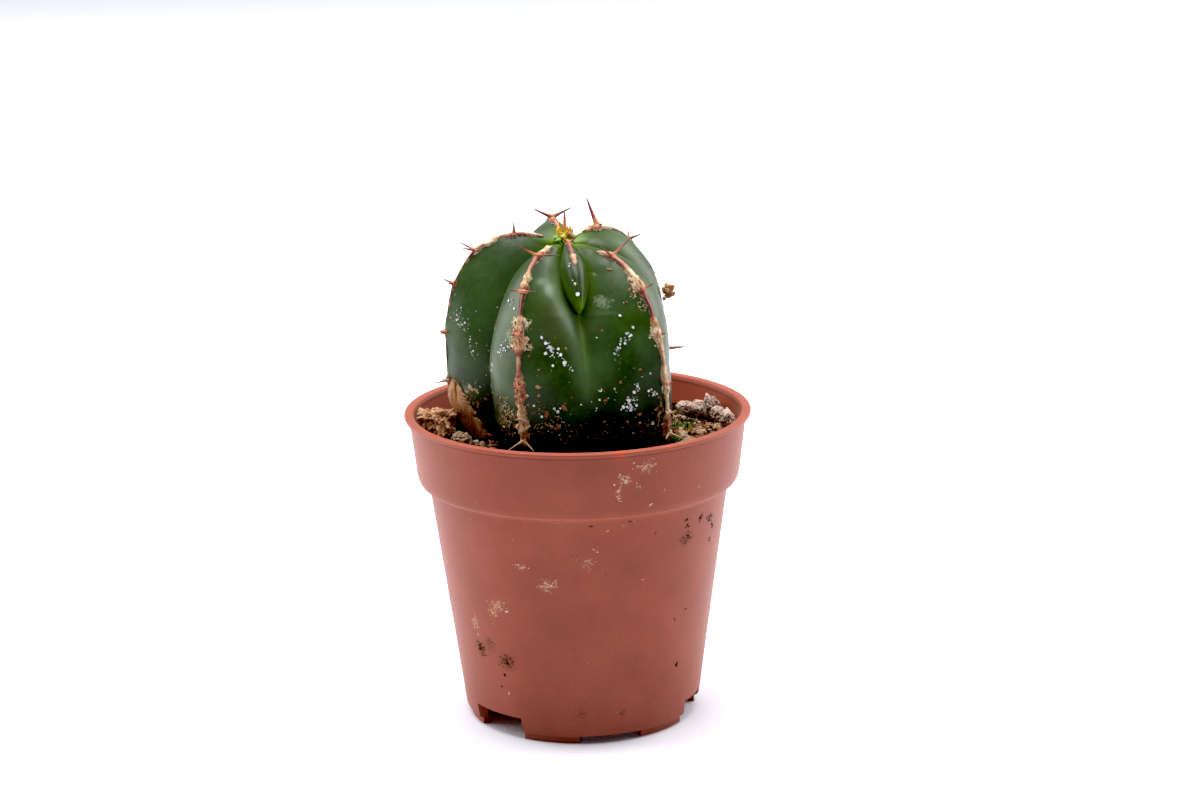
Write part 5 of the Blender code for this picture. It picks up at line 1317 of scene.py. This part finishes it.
for name, seed, stones, paleness in PUMICE:
    draw = random.Random(seed)
    heap = [], [], []
    for azimuth, radius, rise, radii in stones:
        place = soil_spot(azimuth, radius, -rise - radii[2] * 0.9)
        offset = noise_offset(draw)
        spin = Matrix.Rotation(math.radians(azimuth - 90), 3, "Z")
        points, tones = [], []
        for co in grain_fine[0]:
            dent = 1 + 0.22 * noise.noise(co * 1.4 + offset) + 0.14 * noise.noise(co * 3.2 + offset)
            pit = max(0.0, noise.noise(co * 5.5 + offset) - 0.12) * 0.5
            pit += max(0.0, noise.noise(co * 10 + offset) - 0.2) * 0.3
            size = dent - pit
            for out, middle, reach in BREAKS if azimuth in BROKEN else ():
                size += out * math.exp(-((co - Vector(middle)).length / reach) ** 2)
            shape = Vector((co.x * radii[0], co.y * radii[1], co.z * radii[2]))
            points.append(place + spin @ shape * size * MM)
            tones.append(clamp(paleness + draw.uniform(-0.02, 0.02) - pit * 1.5))
        add_faces(heap, points, grain_fine[1], tones)
    finish_piece(mesh_piece(name + "_stones", *heap), pumice_mat, "pumice", name, angle=60)

# ---- Stuck crumb -------------------------------------------------------------------------------------
# Soil and root hair that watering splashed up, dried onto the thorns of the back right rib. It is a
# loose ball of grains that the hairs hold together.
CRUMB_AZIMUTH, CRUMB_T, CRUMB_R = 117.0, 1.72, 0.95
draw = random.Random(17)
crumb = [], [], []
r, z = skin(CRUMB_AZIMUTH, CRUMB_T)
place = at(CRUMB_AZIMUTH, r + CRUMB_R + FIT_GAP, z, stem_axis(z))
for k in range(26):
    spot = place + Vector((draw.gauss(0.15, 0.42), draw.gauss(0, 0.32), draw.gauss(0, 0.6))) * MM
    size = draw.uniform(0.26, 0.55)
    move = stone_move(draw, spot, (size, size * 0.8, size * 0.9), draw.uniform(0, 360), 0.5)
    add_copy(crumb, grain_80, move, draw.uniform(0.2, 0.8))
finish_piece(mesh_piece("dried_crumb", *crumb), bark, "bark", "stuck_crumb", angle=60)

# ---- Studio ------------------------------------------------------------------------------------------
# A white table under large soft lights, as for a catalogue picture. The camera has the place and the
# lens that were found from the photo.
bpy.ops.mesh.primitive_plane_add(size=8)
floor = bpy.context.object
floor.name = "studio_floor"
white, tree, shader = new_material("white_table")
feed(tree, shader, {"Base Color": "#F0F1FA", "Roughness": 0.6, "Specular IOR Level": 0.2})
floor.data.materials.append(white)

for name, place, size, watts in (
    ("overhead_softbox", (-0.03, 0.03, 0.95), (0.7, 0.7), 15),
    ("left_softbox", (-0.72, 0.28, 0.4), (0.8, 0.8), 7.5),
    ("right_softbox", (0.72, 0.36, 0.42), (0.8, 0.8), 8.5),
):
    bpy.ops.object.light_add(type="AREA", location=place)
    lamp = bpy.context.object
    lamp.name = name
    lamp.data.shape = "RECTANGLE"
    lamp.data.size, lamp.data.size_y = size
    lamp.data.energy = watts
    lamp.rotation_euler = (Vector((0, 0, 0.05)) - lamp.location).to_track_quat("-Z", "Y").to_euler()

world = bpy.data.worlds.new("white_room")
bpy.context.scene.world = world
world.use_nodes = True
tree = world.node_tree
facing = node(tree, "SeparateXYZ", {"Vector": node(tree, "TexCoord").outputs["Generated"]}).outputs["Y"]
back_share = node(tree, "MapRange", {"Value": facing, "From Min": -1.0, "From Max": 1.0})
glow = node(tree, "ValToRGB", {"Fac": back_share}, stops=((0.0, 0.1), (0.4, 0.22), (1.0, 0.7)))
feed(tree, tree.nodes["Background"], {"Color": glow, "Strength": 0.9})
# a plain picture whose darkest one and a half percent is cut to black
view = bpy.context.scene.view_settings
view.view_transform = "Standard"
view.use_curve_mapping = True
view.curve_mapping.black_level = (0.015, 0.015, 0.015)
view.curve_mapping.update()

bpy.ops.object.camera_add(location=(0, -0.460843, 0.171918))
camera = bpy.context.object
forward = Vector((0.00753442, 0.96720029, -0.25390319))
upward = Vector((0.01828527, 0.25373468, 0.96710101))
camera.matrix_world = Matrix.Translation(camera.location) @ Matrix((
    (*forward.cross(upward), 0), (*upward, 0), (*-forward, 0), (0, 0, 0, 1))).transposed()
camera.data.lens = 90.12
camera.data.sensor_width = 36
bpy.context.scene.camera = camera
